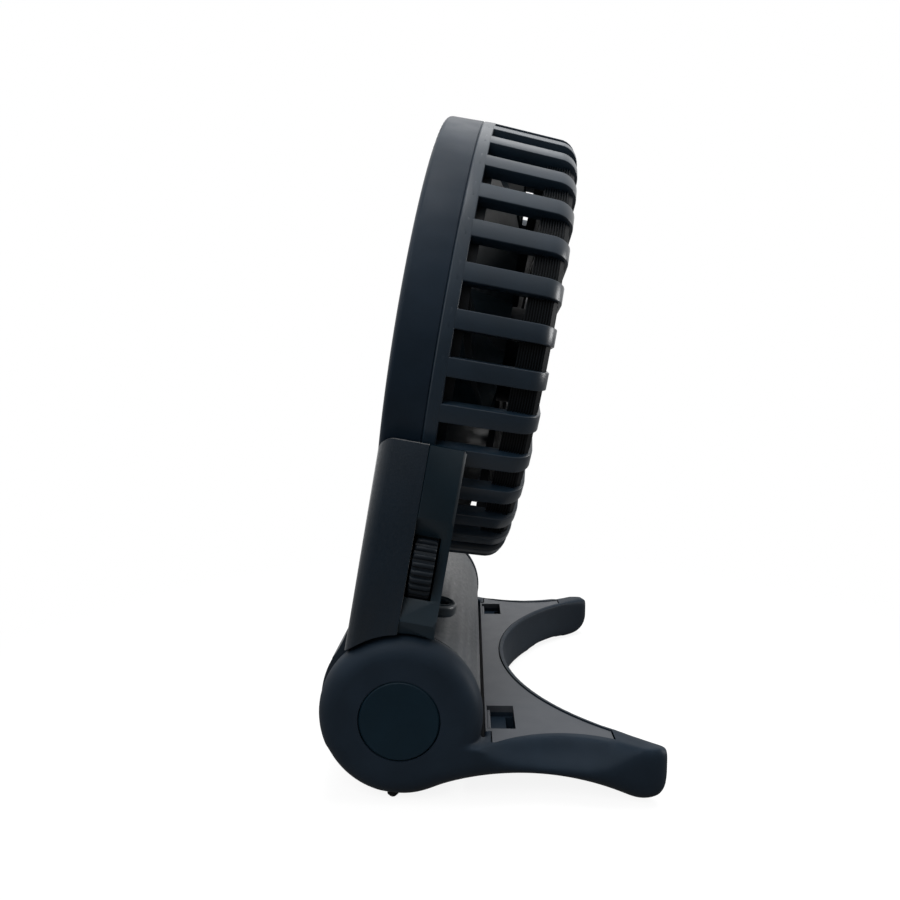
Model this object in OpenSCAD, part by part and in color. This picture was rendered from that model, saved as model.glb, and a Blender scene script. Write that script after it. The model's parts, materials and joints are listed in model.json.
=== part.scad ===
// Folding desk and hand fan: a round head held in the scooped end of a flat handle.
// The handle's barrel turns between the two cheeks of a forked stand.

/* [Head] */
// Outside diameter of the round head
head_d = 100; // [90:1:110]
// Distance from the pivot axis forward to the front face
front_set = 12.5; // [11.5:0.1:13]
// Depth of the solid front ring
ring_depth = 7.6; // [7:0.1:8.6]
// Wall of the front ring
ring_wall = 2.4; // [2:0.1:2.8]
// Height of the lip that holds the front grille in the ring
ring_lip = 1.2; // [0.8:0.1:1.6]
// Depth of the slotted housing behind the ring
housing_depth = 20.7; // [19.5:0.1:21]
// Solid rim of the housing before its slots start
housing_rim = 2.6; // [2:0.1:3.2]
// Wall of the slotted housing
housing_wall = 2.6; // [2:0.1:3]
// How much the housing narrows in radius towards the rear
housing_draft = 1; // [0.4:0.1:1.4]
// Radius of the rounded rear corner of the bars
housing_corner = 4.2; // [3:0.1:5]
// Number of bars round the housing
bar_count = 37; // [30:1:40]
// Width of one bar at the outside
bar_w = 3.5; // [3:0.1:4]
// Turn of the first bar from the very top, in degrees
bar_turn = 0.75; // [0:0.05:2]
// Radius of the solid disc in the middle of the housing's back
back_disc_r = 19; // [17:0.5:21]
// Depth of the solid disc
back_disc_t = 3.6; // [3.2:0.1:4]
// Radius of the blank cap on the back
back_cap_r = 14; // [12:0.5:15]
// Distance from one guard ring to the next
guard_pitch = 3; // [2.6:0.1:4]
// Width of one guard ring
guard_w = 1.1; // [0.9:0.1:1.4]
// Depth of the guard rings
guard_t = 3.7; // [2:0.1:4]
// How far the guard rings stand back from the bars' rear face
guard_sink = 0.5; // [0.3:0.1:1.5]
// How far the ring stands forward of the handle's front face
ring_proud = 0.3; // [0:0.1:0.6]
// Radius of the rounded front edge of the ring
ring_edge_r = 1.2; // [0.8:0.1:2]

/* [Front grille] */
// Number of curved spokes
spoke_count = 24; // [18:1:30]
// Width of a spoke
spoke_w = 1.3; // [1:0.1:1.6]
// Depth of the grille
grille_t = 1.6; // [1.2:0.1:2]
// Radius that each spoke is bent to
spoke_bend_r = 45; // [40:1:60]
// Radius of the disc in the middle of the grille
grille_disc_r = 14.5; // [13:0.5:17]
// Radius of the blank cap on that disc
badge_r = 12.5; // [10:0.5:13]

/* [Impeller and motor] */
// Number of blades
blade_count = 7; // [5:1:8]
// Radial gap between the blade tips and the housing
tip_gap = 1.7; // [1.2:0.1:3]
// Depth of a blade along the axis, at its widest
blade_depth = 13; // [10:0.5:13.5]
// Thickness of a blade in its middle
blade_t = 1.5; // [1.2:0.1:2]
// Outside radius of the impeller's hub
hub_r = 14.5; // [14:0.1:15.5]
// Wall of the impeller's hub
hub_wall = 2; // [1.5:0.1:2.2]
// Radius of the motor can
motor_r = 11.5; // [11:0.1:11.8]
// Length of the motor can
motor_len = 11; // [9:0.1:11.5]
// Wall of the motor can
motor_wall = 1; // [0.8:0.1:1.4]
// Radius of the motor shaft
shaft_r = 1; // [0.8:0.05:1.2]

/* [Handle] */
// Height of the handle above the pivot axis
handle_h = 51.2; // [48:0.1:53]
// Depth of the front shell, from the front face to the parting line
shell_front_depth = 9.3; // [9:0.1:9.6]
// Depth of the rear shell behind the parting line
shell_rear_depth = 6.85; // [6.6:0.05:7]
// Wall of both shells
shell_wall = 1.8; // [1.4:0.1:2]
// Radius along the front edges of the front shell
shell_edge_r = 3; // [2:0.1:4]
// Bevel along the edges of the rear shell
shell_bevel = 0.5; // [0.3:0.1:0.8]
// Gap between the handle's scoop and the head
scoop_gap = 0.4; // [0.2:0.1:0.8]
// Height of the neck between the drum and the head
neck_h = 6.8; // [6.4:0.1:8]
// How far the handle's sides stand back from the stand's sides
handle_inset = 0.9; // [0.6:0.1:1.5]
// Wall of the barrel
barrel_wall = 2; // [1.6:0.1:2.4]
// Diameter of the battery cell
cell_d = 18.5; // [18:0.1:19]
// Length of the battery cell
cell_len = 65; // [60:0.5:66]
// Room from each end of the cell to the barrel's end plug
cell_room = 5.96; // [5.8:0.01:6.4]

/* [Speed wheel] */
// Radius of the speed wheel
wheel_r = 7.2; // [6.8:0.1:7.4]
// Thickness of the speed wheel
wheel_t = 4.1; // [3.6:0.1:4.1]
// How far the wheel stands out of the handle's side
wheel_proud = 0.6; // [0:0.1:0.8]
// Number of ribs round the speed wheel
wheel_ribs = 36; // [30:1:44]
// Height of the wheel's axis above the pivot axis
wheel_z = 28.45; // [28:0.05:29]
// Depth of the thumb recess in the rear shell
recess_d = 2; // [1.6:0.1:2.4]

/* [Pivot] */
// Diameter of the drum that the cheeks form
drum_d = 31.2; // [30.5:0.1:32]
// Lean of the handle from upright
tilt = 10.2; // [0:0.1:20]
// Thickness of each cheek
cheek_t = 4.9; // [4.7:0.1:5.2]
// Radius of the rounded outer edge of a cheek
cheek_edge_r = 4; // [3:0.1:4.5]
// Step from the cheeks down to the barrel between them
barrel_step = 0.4; // [0.2:0.1:0.8]
// Radius of the hinge pins
pin_r = 3.5; // [3:0.1:4]
// Radius of the round hinge caps
cap_r = 7.56; // [7:0.01:8]
// Thickness of the hinge caps
cap_t = 1.8; // [1.4:0.1:2]

/* [Stand] */
// Reach of the legs behind the pivot axis
leg_reach = 49.9; // [47:0.1:52]
// Width of a leg at its tip
horn_w = 3.2; // [2.8:0.1:4]
// Gap between the folded head and the fork
notch_gap = 0.9; // [0.8:0.1:1.6]
// Gap between the folded handle and the legs
fold_gap = 1.35; // [1:0.05:1.8]
// Height of the arch under the legs
arch_h = 4.7; // [3.5:0.1:5]
// Radius of the arch under the legs
arch_r = 50; // [46:1:60]
// Radius of the lower corner at a leg's tip
tip_r = 5.6; // [3:0.1:6]
// Radius of the legs' lower outer edges
leg_edge_r = 4.4; // [3.5:0.1:4.6]
// Radius of the corner at a leg's tip, seen from above
tip_corner_r = 2.5; // [1:0.1:2.8]
// Wall of the stand's tray
stand_wall = 1.9; // [1.5:0.1:2.2]
// Thickness of the top plate
plate_t = 1.6; // [1.2:0.1:2]
// Rim of the stand that shows between the top plate and the fork
plate_rim = 1.3; // [1:0.1:2]
// Length of the top plate along a leg
plate_len = 24.2; // [20:0.1:25]
// Length of a window in the top plate
window_l = 4.9; // [4.6:0.1:5.4]
// Width of a window in the top plate
window_w = 10; // [9:0.1:11]
// Width of the plate beside each window
window_edge = 1.1; // [0.8:0.1:1.4]

/* [Lanyard loop] */
// Width of the loop
loop_w = 7.6; // [7:0.1:8]
// How far the loop stands out of the rear shell
loop_out = 3.5; // [3:0.1:3.8]
// Height of the loop
loop_h = 2.6; // [2:0.1:2.8]
// Thickness of the loop's bow
loop_bow = 1.5; // [1.2:0.1:1.8]

/* [Hidden] */
$fn = 96;

navy = [0.09, 0.12, 0.15];
deep_navy = [0.05, 0.08, 0.11];
plate_grey = [0.27, 0.27, 0.29];
steel = [0.62, 0.63, 0.65];
bronze = [0.55, 0.42, 0.25];
board_green = [0.07, 0.25, 0.16];
cell_blue = [0.10, 0.32, 0.55];

// A cut that only has to pass through, and the slip between pieces that seat in each other
cut = 1;
slip = 0.05;
fit_gap = 0.1;

// The pivot axis is at the origin of both the stand's and the handle's frame
drum_r = drum_d / 2;
head_r = head_d / 2;
foot_lift = 0.5;
ground_z = -(drum_r + foot_lift);
head_z = drum_r + neck_h + head_r;
scoop_r = head_r + scoop_gap;
notch_r = head_r + notch_gap;
stand_half = sqrt(pow(notch_r, 2) - pow(head_z - leg_reach, 2)) + horn_w;
pivot_x = -(leg_reach - drum_r) / 2;

// Depths along the fan's axis, counted from the pivot axis towards the rear
front_n = -front_set;
part_n = front_n + ring_depth;
slot_n = part_n + housing_rim;
rear_n = part_n + housing_depth;
seam_n = front_n + shell_front_depth;
back_n = seam_n + shell_rear_depth;
grille_n = front_n + ring_lip;
disc_n = rear_n - back_disc_t;
rib_n = rear_n - 2.4;
ring_n = front_n - ring_proud;
guard_n = rear_n - guard_sink - guard_t;

// Widths across the pivot
cheek_in = stand_half - cheek_t;
washer_bay = 0.8;
barrel_half = cheek_in - washer_bay;
barrel_r = drum_r - barrel_step;
bore_r = barrel_r - barrel_wall;
handle_half = stand_half - handle_inset;
swing_r = drum_r + 0.5;

// The barrel's front swells a little and runs into the front face in a fillet
swell_r = 16.3;
swell_at = [0.5, 1.5];
swell_fillet_r = 20;
swell_fillet_n = front_n - swell_fillet_r;
swell_fillet_w = swell_at[1] + sqrt(pow(swell_r + swell_fillet_r, 2) - pow(swell_fillet_n - swell_at[0], 2));

// The stand's levels and the leg's root, where the arch runs out of the drum
plate_z = -(back_n + fold_gap);
plate_x = drum_r + 0.5;
plate_half = stand_half - 3;
plate_step_x = plate_x + 1.2;
plate_step_y = cheek_in - 2.4;
bay_r = norm([plate_x, plate_z]);
leg_root = drum_r * 0.4;
arch_x = 23;
tray_z = ground_z + arch_h + stand_wall;
waist_r = 30;
waist_x = 29.4;
waist_y = stand_half + 18.6;
waist_z = plate_z + 17.9;

// Head radii
ring_in_r = head_r - ring_wall;
spigot_r = ring_in_r - fit_gap;
spigot_wall = 1.2;
lip_r = ring_in_r - 1.2;
housing_r = head_r - housing_draft;
blade_tip_r = spigot_r - spigot_wall - tip_gap;
slot_angle = 360 / bar_count - 2 * asin(bar_w / 2 / head_r);

// Screws
screw_r = 1;
screw_head_r = 1.8;
screw_head_t = 1.4;
boss_r = 2.2;
seat_r = 2.6;
upper_screw_z = 40.6;
upper_screw_y = handle_half - shell_wall - boss_r - 0.5;
lug_angle = 25.3;
lug_r = head_r + 6;
lug_t = 2.5;
lower_screw_y = lug_r * sin(lug_angle);
lower_screw_z = head_z - lug_r * cos(lug_angle);
screw_places = [
    for (side = [-1, 1]) [side * upper_screw_y, upper_screw_z],
    for (side = [-1, 1]) [side * lower_screw_y, lower_screw_z]
];
lug_n = part_n - lug_t;

// Speed wheel, its control and the boards
wheel_y = -(handle_half + wheel_proud - wheel_r);
wheel_n = seam_n + 0.5;
wheel_post_r = 1.5;
control_n = seam_n - fit_gap;
control_t = 3.8;
control_size = 9;
board_t = 1.2;
control_board_n = control_n - control_t - board_t;
usb_w = 9;
usb_t = 3.2;
usb_len = 7;
usb_n = seam_n + 1.4;
charge_board_n = usb_n - board_t;
inner_scoop_r = scoop_r + shell_wall;
keep_r = swing_r + shell_wall - 0.2;

// Motor and impeller
motor_n = disc_n - motor_len;
bush_r = 2.5;
hub_front_n = motor_n - 7.4;
hub_rear_n = motor_n + 7.1;
hub_face_t = 2.1;
blade_mid_n = hub_rear_n - blade_depth / 2;
post_len = 4.8;
rotor_gap = 0.8;

// The lanyard loop hangs into the near window when the fan is folded
window_x = plate_x + 1;
window_y = plate_step_y - window_edge - window_w / 2;
loop_z = window_x + 0.2 + loop_h / 2;
loop_y = -window_y;

// Pins and caps
pin_head_r = 6;
pin_head_t = 1.4;
cap_seat = stand_half - cap_t;
pin_seat = cap_seat - fit_gap - pin_head_t;
plug_t = barrel_half - cell_len / 2 - cell_room;
clip_t = 0.8;
plug_in = barrel_half - plug_t;
clip_y = plug_in - 0.2 - clip_t;
pin_end = clip_y - 0.6;

// Frames

module on_stand() {
    translate([pivot_x, 0, -ground_z]) children();
}

module on_handle() {
    on_stand() rotate([0, tilt, 0]) children();
}

module on_head() {
    on_handle() translate([0, 0, head_z]) rotate([0, 90, 0]) children();
}

// Turns its children so that their Z runs out of the side that side_sign names
module across(side_sign) {
    rotate([-90 * side_sign, 0, 0]) children();
}

// A rod along Y from one place to another
module rod_y(r, y0, y1) {
    translate([0, min(y0, y1), 0]) rotate([-90, 0, 0]) cylinder(r = r, h = abs(y1 - y0));
}

// A round tube from one point to the next, with round joints
module wire(points, r) {
    for (i = [0 : len(points) - 2]) {
        step = points[i + 1] - points[i];
        reach = norm(step);
        translate(points[i]) rotate([0, acos(step[2] / reach), atan2(step[1], step[0])])
            cylinder(r = r, h = reach, $fn = 24);
    }
    for (p = points) translate(p) sphere(r = r, $fn = 24);
}

// Stand

// Side view of a leg: X to the rear, Y up
module leg_side() {
    difference() {
        translate([leg_root, ground_z]) square([leg_reach - leg_root, plate_z - ground_z]);
        translate([leg_reach - tip_r, ground_z]) difference() {
            square([tip_r + cut, tip_r]);
            translate([0, tip_r]) circle(tip_r);
        }
    }
}

// The arch under the legs deepens from nothing inside to its full height at the sides, where it flares
module arch_cut() {
    start_y = stand_half * 0.55;
    full_y = stand_half - leg_edge_r;
    for (side = [-1, 1]) translate([arch_x, 0, ground_z + arch_h - arch_r]) across(side)
        rotate_extrude($fn = 180) difference() {
            polygon([
                [0, start_y],
                [arch_r - arch_h, start_y],
                [arch_r, full_y],
                [arch_r + leg_edge_r, full_y],
                [arch_r + leg_edge_r, stand_half + cut],
                [0, stand_half + cut]
            ]);
            translate([arch_r + leg_edge_r, full_y]) circle(leg_edge_r);
        }
}

// The pair of ball-shaped scoops that pinch the stand's waist
module waist_cuts(grow) {
    for (side = [-1, 1]) translate([waist_x, side * waist_y, waist_z]) sphere(r = waist_r + grow);
}

// The fork's round cut, drawn with a larger radius where a rim is kept
module fork_cut(grow, z0, z1) {
    translate([head_z, 0, z0]) cylinder(r = notch_r + grow, h = z1 - z0, $fn = 180);
}

// The top plate's block: its front corners step back beside the cheeks
module plate_solid(gap, z0, z1) {
    difference() {
        union() {
            translate([plate_x, -plate_step_y - gap, z0])
                cube([plate_len + gap, 2 * (plate_step_y + gap), z1 - z0]);
            translate([plate_step_x - gap, -plate_half - gap, z0])
                cube([plate_x + plate_len - plate_step_x + 2 * gap, 2 * (plate_half + gap), z1 - z0]);
        }
        fork_cut(plate_rim - gap, z0 - cut, z1 + cut);
    }
}

// One cheek: a disc with a rounded outer edge
module cheek(side) {
    across(side) rotate_extrude() difference() {
        translate([0, cheek_in]) square([drum_r, cheek_t]);
        translate([drum_r - cheek_edge_r, stand_half - cheek_edge_r]) difference() {
            square(cheek_edge_r + cut);
            circle(cheek_edge_r);
        }
    }
}

// A square outline whose outer corner at both sides is cut round
module corner_cuts(across_at, up_at, r) {
    for (side = [0, 1]) mirror([side, 0]) translate([across_at - r, up_at]) difference() {
        square([r + cut, r]);
        translate([0, r]) circle(r);
    }
}

module leg_block() {
    difference() {
        translate([0, stand_half, 0]) rotate([90, 0, 0])
            linear_extrude(2 * stand_half) leg_side();
        rotate([90, 0, 90]) linear_extrude(leg_reach + cut)
            corner_cuts(stand_half, ground_z, leg_edge_r);
        translate([leg_reach, 0, ground_z - cut]) rotate([0, 0, 90]) linear_extrude(drum_d)
            corner_cuts(stand_half, 0, tip_corner_r);
        arch_cut();
    }
}

module base_shell() {
    hook_l = 0.8;
    bay_foot_x = drum_r * 0.86;
    color(navy) on_stand() difference() {
        union() {
            for (side = [-1, 1]) cheek(side);
            difference() {
                leg_block();
                // The bay that the barrel turns in
                rod_y(bay_r, -cheek_in, cheek_in);
                translate([0, -cheek_in, ground_z - cut])
                    cube([bay_foot_x, 2 * cheek_in, drum_d / 2]);
                fork_cut(0, ground_z - cut, plate_z + cut);
                waist_cuts(0);
                plate_solid(fit_gap, plate_z - plate_t, plate_z + cut);
                tray_hollow();
            }
            // Hooks that latch the top plate, seen in its windows
            for (side = [-1, 1])
                translate([window_x - slip, side * window_y - window_w / 2 + 1, tray_z - slip])
                    cube([hook_l, window_w - 2, plate_z - plate_t - 1.2 - tray_z]);
        }
        for (side = [-1, 1]) {
            across(side) translate([0, 0, cheek_in - cut])
                cylinder(r = pin_r + slip, h = cheek_t + 2 * cut);
            across(side) translate([0, 0, pin_seat])
                cylinder(r = pin_head_r + fit_gap, h = cheek_t);
            across(side) translate([0, 0, cap_seat]) cylinder(r = cap_r + fit_gap, h = cheek_t);
        }
        nub_holes();
    }
}

// The tray under the top plate, with its floor over the arch
module tray_hollow() {
    ledge = 1.5;
    difference() {
        translate([plate_x + stand_wall, -stand_half + stand_wall + ledge, tray_z])
            cube([plate_len - 2 * stand_wall - ledge, 2 * (stand_half - stand_wall - ledge), plate_z - tray_z]);
        fork_cut(plate_rim + ledge, tray_z - cut, plate_z + cut);
        waist_cuts(stand_wall);
    }
    // The loop dips into the tray through a window when the handle is folded
    for (side = [-1, 1]) translate([window_x, side * window_y - window_w / 2, tray_z])
        cube([stand_wall, window_w, plate_z - tray_z]);
}

module base_top_plate() {
    color(plate_grey) on_stand() difference() {
        plate_solid(0, plate_z - plate_t, plate_z);
        waist_cuts(0);
        for (side = [-1, 1])
            translate([window_x, side * window_y - window_w / 2, plate_z - plate_t - cut])
                cube([window_l, window_w, plate_t + 2 * cut]);
    }
}

module hinge_cap(side) {
    bevel = 0.3;
    color(deep_navy) on_stand() across(side) translate([0, 0, cap_seat]) {
        cylinder(r = cap_r, h = cap_t - bevel);
        translate([0, 0, cap_t - bevel]) cylinder(r1 = cap_r, r2 = cap_r - bevel, h = bevel);
    }
}

module hinge_pin(side) {
    groove_r = pin_r - 0.7;
    color(steel) on_stand() across(side) difference() {
        union() {
            translate([0, 0, pin_end]) cylinder(r = pin_r, h = pin_seat + slip - pin_end);
            translate([0, 0, pin_seat]) cylinder(r = pin_head_r, h = pin_head_t);
        }
        translate([0, 0, clip_y]) difference() {
            cylinder(r = pin_r + cut, h = clip_t);
            translate([0, 0, -cut]) cylinder(r = groove_r, h = clip_t + 2 * cut);
        }
    }
}

module hinge_clips() {
    clip_r = 5.4;
    color(steel) on_stand() for (side = [-1, 1]) across(side) translate([0, 0, clip_y + slip])
        difference() {
            cylinder(r = clip_r, h = clip_t - 2 * slip);
            translate([0, 0, -cut]) cylinder(r = pin_r - 0.7 + slip, h = clip_t + 2 * cut);
            translate([0, -1.8, -cut]) cube([clip_r + cut, 3.6, clip_t + 2 * cut]);
        }
}

module friction_washers() {
    washer_r = 9;
    color(steel) on_stand() for (side = [-1, 1]) across(side)
        translate([0, 0, barrel_half + fit_gap]) difference() {
            cylinder(r = washer_r, h = washer_bay - 2 * fit_gap);
            translate([0, 0, -cut]) cylinder(r = pin_r + fit_gap, h = washer_bay + 2 * cut);
        }
}

nub_x = -1.6;
nub_r = 1.1;
nub_y = stand_half - 3.5;
nub_sink = 1;

module nub_holes() {
    for (side = [-1, 1]) translate([nub_x, side * nub_y, ground_z - cut])
        cylinder(r = nub_r + slip, h = cut + foot_lift + nub_sink, $fn = 36);
}

module foot_nubs() {
    taper = 0.5;
    color([0.05, 0.05, 0.06]) on_stand() for (side = [-1, 1])
        translate([nub_x, side * nub_y, ground_z]) {
            cylinder(r1 = nub_r - taper, r2 = nub_r, h = foot_lift, $fn = 36);
            translate([0, 0, foot_lift]) cylinder(r = nub_r, h = nub_sink, $fn = 36);
        }
}

// Handle

// Front view of the handle: X across, Y up, drawn smaller by inset
module handle_face(inset) {
    difference() {
        translate([-handle_half + inset, 0]) square([2 * (handle_half - inset), handle_h - inset]);
        translate([0, head_z]) circle(scoop_r + inset, $fn = 180);
    }
}

// The handle's face drawn into a block between two depths
module handle_block(inset, n0, n1) {
    translate([n0, 0, 0]) rotate([90, 0, 90]) linear_extrude(n1 - n0) handle_face(inset);
}

// Side view and plan of the front shell's block: both front corners are round
module rounded_front(length, r) {
    difference() {
        translate([front_n, -length]) square([seam_n - front_n, 2 * length]);
        for (side = [-1, 1]) mirror([0, side < 0 ? 1 : 0])
            translate([front_n, length - r]) difference() {
                translate([-cut, 0]) square([r + cut, r + cut]);
                translate([r, 0]) circle(r);
            }
    }
}

module front_block() {
    intersection() {
        handle_block(0, front_n, seam_n);
        translate([0, handle_half + cut, 0]) rotate([90, 0, 0])
            linear_extrude(2 * (handle_half + cut)) rounded_front(handle_h, shell_edge_r);
        translate([0, 0, -cut]) linear_extrude(handle_h + 2 * cut)
            rounded_front(handle_half, shell_edge_r);
    }
}

// Side room in which the cheeks turn past the handle
module cheek_clearance() {
    for (side = [-1, 1]) across(side) translate([0, 0, barrel_half])
        cylinder(r = swing_r, h = stand_half);
}

// Side view of the barrel's swollen front, with the fillet up to the front face
module barrel_swell() {
    inner_n = front_n + shell_wall;
    difference() {
        union() {
            intersection() {
                translate(swell_at) circle(swell_r, $fn = 180);
                translate([-drum_r - cut, -drum_r]) square([drum_r + cut + inner_n, drum_d]);
            }
            translate([swell_at[0] - swell_r + cut, swell_at[1]])
                square([inner_n - swell_at[0] + swell_r - cut, swell_fillet_w - swell_at[1]]);
        }
        translate([swell_fillet_n, swell_fillet_w]) circle(swell_fillet_r, $fn = 180);
        circle(bore_r + cut);
    }
}

module front_shell() {
    color(navy) on_handle() difference() {
        union() {
            difference() {
                front_block();
                // Hollow behind the front wall
                difference() {
                    handle_block(shell_wall, front_n + shell_wall, seam_n + cut);
                    rod_y(keep_r, -handle_half, handle_half);
                }
                // Openings for the head's two lugs in the scoop's wall
                for (side = [-1, 1]) lug_way(side);
            }
            for (p = screw_places) {
                top_n = abs(p[0]) > lower_screw_y + cut ? seam_n - fit_gap : lug_n - slip;
                post(p, boss_r, front_n + shell_wall - slip, top_n);
            }
            for (p = control_pegs) post(p, 1.4, front_n + shell_wall - slip, control_board_n);
            for (p = charge_pegs) post(p, 1.4, front_n + shell_wall - slip, charge_board_n);
            rod_y(barrel_r, -barrel_half, barrel_half);
            translate([0, barrel_half, 0]) rotate([90, 0, 0])
                linear_extrude(2 * barrel_half) barrel_swell();
        }
        cheek_clearance();
        rod_y(bore_r, -stand_half, stand_half);
        for (p = screw_places) post(p, screw_r + slip, front_n + shell_wall, seam_n + cut);
        lead_ways();
    }
}

// A round post along the fan's axis at a place on the handle's face
module post(place, r, n0, n1) {
    translate([n0, place[0], place[1]]) rotate([0, 90, 0]) cylinder(r = r, h = n1 - n0, $fn = 48);
}

// Room for one of the head's lugs where it passes the scoop's wall
module lug_way(side) {
    width = 2 * lug_half + 4 * fit_gap;
    translate([lug_n - fit_gap, 0, head_z]) rotate([side * lug_angle, 0, 0])
        translate([0, -width / 2, -lug_r - lug_half - fit_gap])
            cube([seam_n - lug_n + cut, width, lug_half + lug_r - head_r + 2 * fit_gap]);
}

// Side view and plan of the rear shell's block: bevelled at the back and at the parting line
module bevelled_back(length) {
    groove = 0.25;
    polygon([
        [seam_n, length - groove],
        [seam_n + groove, length],
        [back_n - shell_bevel, length],
        [back_n, length - shell_bevel],
        [back_n, -length + shell_bevel],
        [back_n - shell_bevel, -length],
        [seam_n + groove, -length],
        [seam_n, -length + groove]
    ]);
}

recess_top = wheel_z + 9.7;
recess_upper = wheel_z + 5.75;
recess_lower = wheel_z - 5.75;
recess_bottom = wheel_z - 10;

module thumb_recess() {
    out_y = -handle_half - cut;
    floor_y = -handle_half + recess_d;
    foot_y = -handle_half + 1;
    lean = recess_d / (recess_top - recess_upper);
    translate([seam_n - cut, 0, 0]) rotate([90, 0, 90]) linear_extrude(2 * cut + back_n - seam_n)
        polygon([
            [out_y, recess_top + cut / lean],
            [floor_y, recess_upper],
            [floor_y, recess_lower],
            [-handle_half, recess_bottom],
            [foot_y, swing_r - 0.4],
            [out_y, swing_r - 0.4]
        ]);
}

module rear_shell() {
    inner_n = back_n - shell_wall;
    color(navy) on_handle() difference() {
        union() {
            difference() {
                intersection() {
                    handle_block(0, seam_n, back_n);
                    translate([0, handle_half + cut, 0]) rotate([90, 0, 0])
                        linear_extrude(2 * (handle_half + cut)) bevelled_back(handle_h);
                    translate([0, 0, -cut]) linear_extrude(handle_h + 2 * cut)
                        bevelled_back(handle_half);
                }
                difference() {
                    handle_block(shell_wall, seam_n - cut, inner_n);
                    rod_y(keep_r, -handle_half, handle_half);
                    recess_backing();
                }
                thumb_recess();
            }
            for (p = screw_places) {
                low_n = abs(p[0]) > lower_screw_y + cut ? seam_n : part_n + slip;
                post(p, seat_r, low_n, inner_n + slip);
            }
        }
        rod_y(barrel_r + slip, -barrel_half - fit_gap, barrel_half + fit_gap);
        cheek_clearance();
        for (p = screw_places) {
            post(p, screw_r + fit_gap, part_n - cut, back_n + cut);
            post(p, screw_head_r + fit_gap, inner_n - 0.6, back_n + cut);
        }
        wheel_slot();
        usb_way();
        loop_seat();
        lead_ways();
    }
}

// Extra wall behind the thumb recess, so that it stays closed
module recess_backing() {
    back_y = -handle_half + recess_d + shell_wall;
    translate([seam_n - 2 * cut, 0, 0]) rotate([90, 0, 90]) linear_extrude(3 * cut + back_n - seam_n)
        polygon([
            [-handle_half, recess_top + 3],
            [-handle_half + shell_wall, recess_top + 3],
            [back_y, recess_upper],
            [back_y, recess_lower],
            [-handle_half + shell_wall, recess_bottom],
            [-handle_half, recess_bottom]
        ]);
}

// Round way for the wheel, open at the parting line
module wheel_slot() {
    room = 0.4;
    post([wheel_y, wheel_z], wheel_r + room, seam_n - cut, wheel_n + wheel_t + room);
}

// Rounded mouth for the charging plug in the far side
module usb_way() {
    r = usb_t / 2 + 0.2;
    span = usb_w / 2 + 0.2 - r;
    for (z = [-span, span]) translate([usb_n + usb_t / 2, 0, wheel_z + z])
        rod_y(r, handle_half - shell_wall - cut, handle_half + cut);
    translate([usb_n + usb_t / 2 - r, handle_half - shell_wall - cut, wheel_z - span])
        cube([2 * r, shell_wall + 2 * cut, 2 * span]);
}

loop_foot = 0.8;

module loop_seat() {
    translate([back_n - loop_foot, loop_y - loop_w / 2 - fit_gap, loop_z - loop_h / 2 - fit_gap])
        cube([loop_foot + cut, loop_w + 2 * fit_gap, loop_h + 2 * fit_gap]);
}

// The D-shaped loop: its hole runs up the handle
module lanyard_loop() {
    outer_r = loop_w / 2;
    reach = loop_out - outer_r;
    color(navy) on_handle() translate([back_n, loop_y, loop_z - loop_h / 2])
        linear_extrude(loop_h) difference() {
            union() {
                translate([-loop_foot, -outer_r]) square([loop_foot + 0.4, loop_w]);
                intersection() {
                    translate([reach, 0]) circle(outer_r);
                    translate([0, -outer_r]) square([loop_out + cut, loop_w]);
                }
            }
            intersection() {
                translate([reach, 0]) circle(outer_r - loop_bow);
                translate([0.4, -outer_r]) square([loop_out, loop_w]);
            }
        }
}

module barrel_plug(side) {
    color(deep_navy) on_handle() across(side) translate([0, 0, plug_in]) difference() {
        cylinder(r = bore_r - slip, h = plug_t);
        translate([0, 0, -cut]) cylinder(r = pin_r + slip, h = plug_t + 2 * cut);
    }
}

module battery_cell() {
    nub_h = 0.6;
    color(cell_blue) on_handle() {
        rod_y(cell_d / 2, -cell_len / 2 + nub_h, cell_len / 2 - nub_h);
        rod_y(3, -cell_len / 2, cell_len / 2);
    }
}

cradle_y = 24;
cradle_w = 7;

module battery_cradle() {
    color(deep_navy) on_handle() for (side = [-1, 1]) difference() {
        rod_y(bore_r - slip, side * cradle_y - cradle_w / 2, side * cradle_y + cradle_w / 2);
        rod_y(cell_d / 2 + slip, -stand_half, stand_half);
        // Way for the leads past the cradle
        translate([-1.6, side * cradle_y - cradle_w, 0]) cube([3.2, 2 * cradle_w, bore_r + cut]);
    }
}

tab_t = 0.4;
lead_r = 0.6;
lead_y = cell_len / 2 + tab_t + 1;

module battery_tabs() {
    color(steel) on_handle() for (side = [-1, 1]) across(side)
        translate([0, 0, cell_len / 2]) cylinder(r = 4, h = tab_t);
}

// One lead from each end of the cell, up through the barrel's wall
module battery_leads() {
    top_z = keep_r + 1.4;
    color([0.5, 0.05, 0.05]) on_handle() for (side = [-1, 1]) {
        translate([0, side * lead_y, 0]) cylinder(r = lead_r, h = top_z, $fn = 24);
        rod_y(lead_r, side * (cell_len / 2 + tab_t), side * lead_y);
    }
}

// Holes that the battery and motor leads pass through
module lead_ways() {
    for (side = [-1, 1]) translate([0, side * lead_y, bore_r - cut])
        cylinder(r = lead_r + 0.4, h = keep_r, $fn = 24);
    room = lead_r + 0.3;
    translate([lead_n - room, -lead_pair - room, head_z - inner_scoop_r - cut])
        cube([2 * room, 2 * (lead_pair + room), shell_wall + 2 * cut]);
}

// Places of the pegs under the near and the far board
control_pegs = [[wheel_y - 1, wheel_z - 7.5], [wheel_y + 5, wheel_z - 6]];
charge_pegs = [[-wheel_y + 1, wheel_z - 7.5], [-wheel_y - 5, wheel_z - 6]];

// A board in one side of the handle, drawn for the far side
board_gap = 0.4;
board_h = 18;
board_in = 10;
board_low = 9.4;

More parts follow.
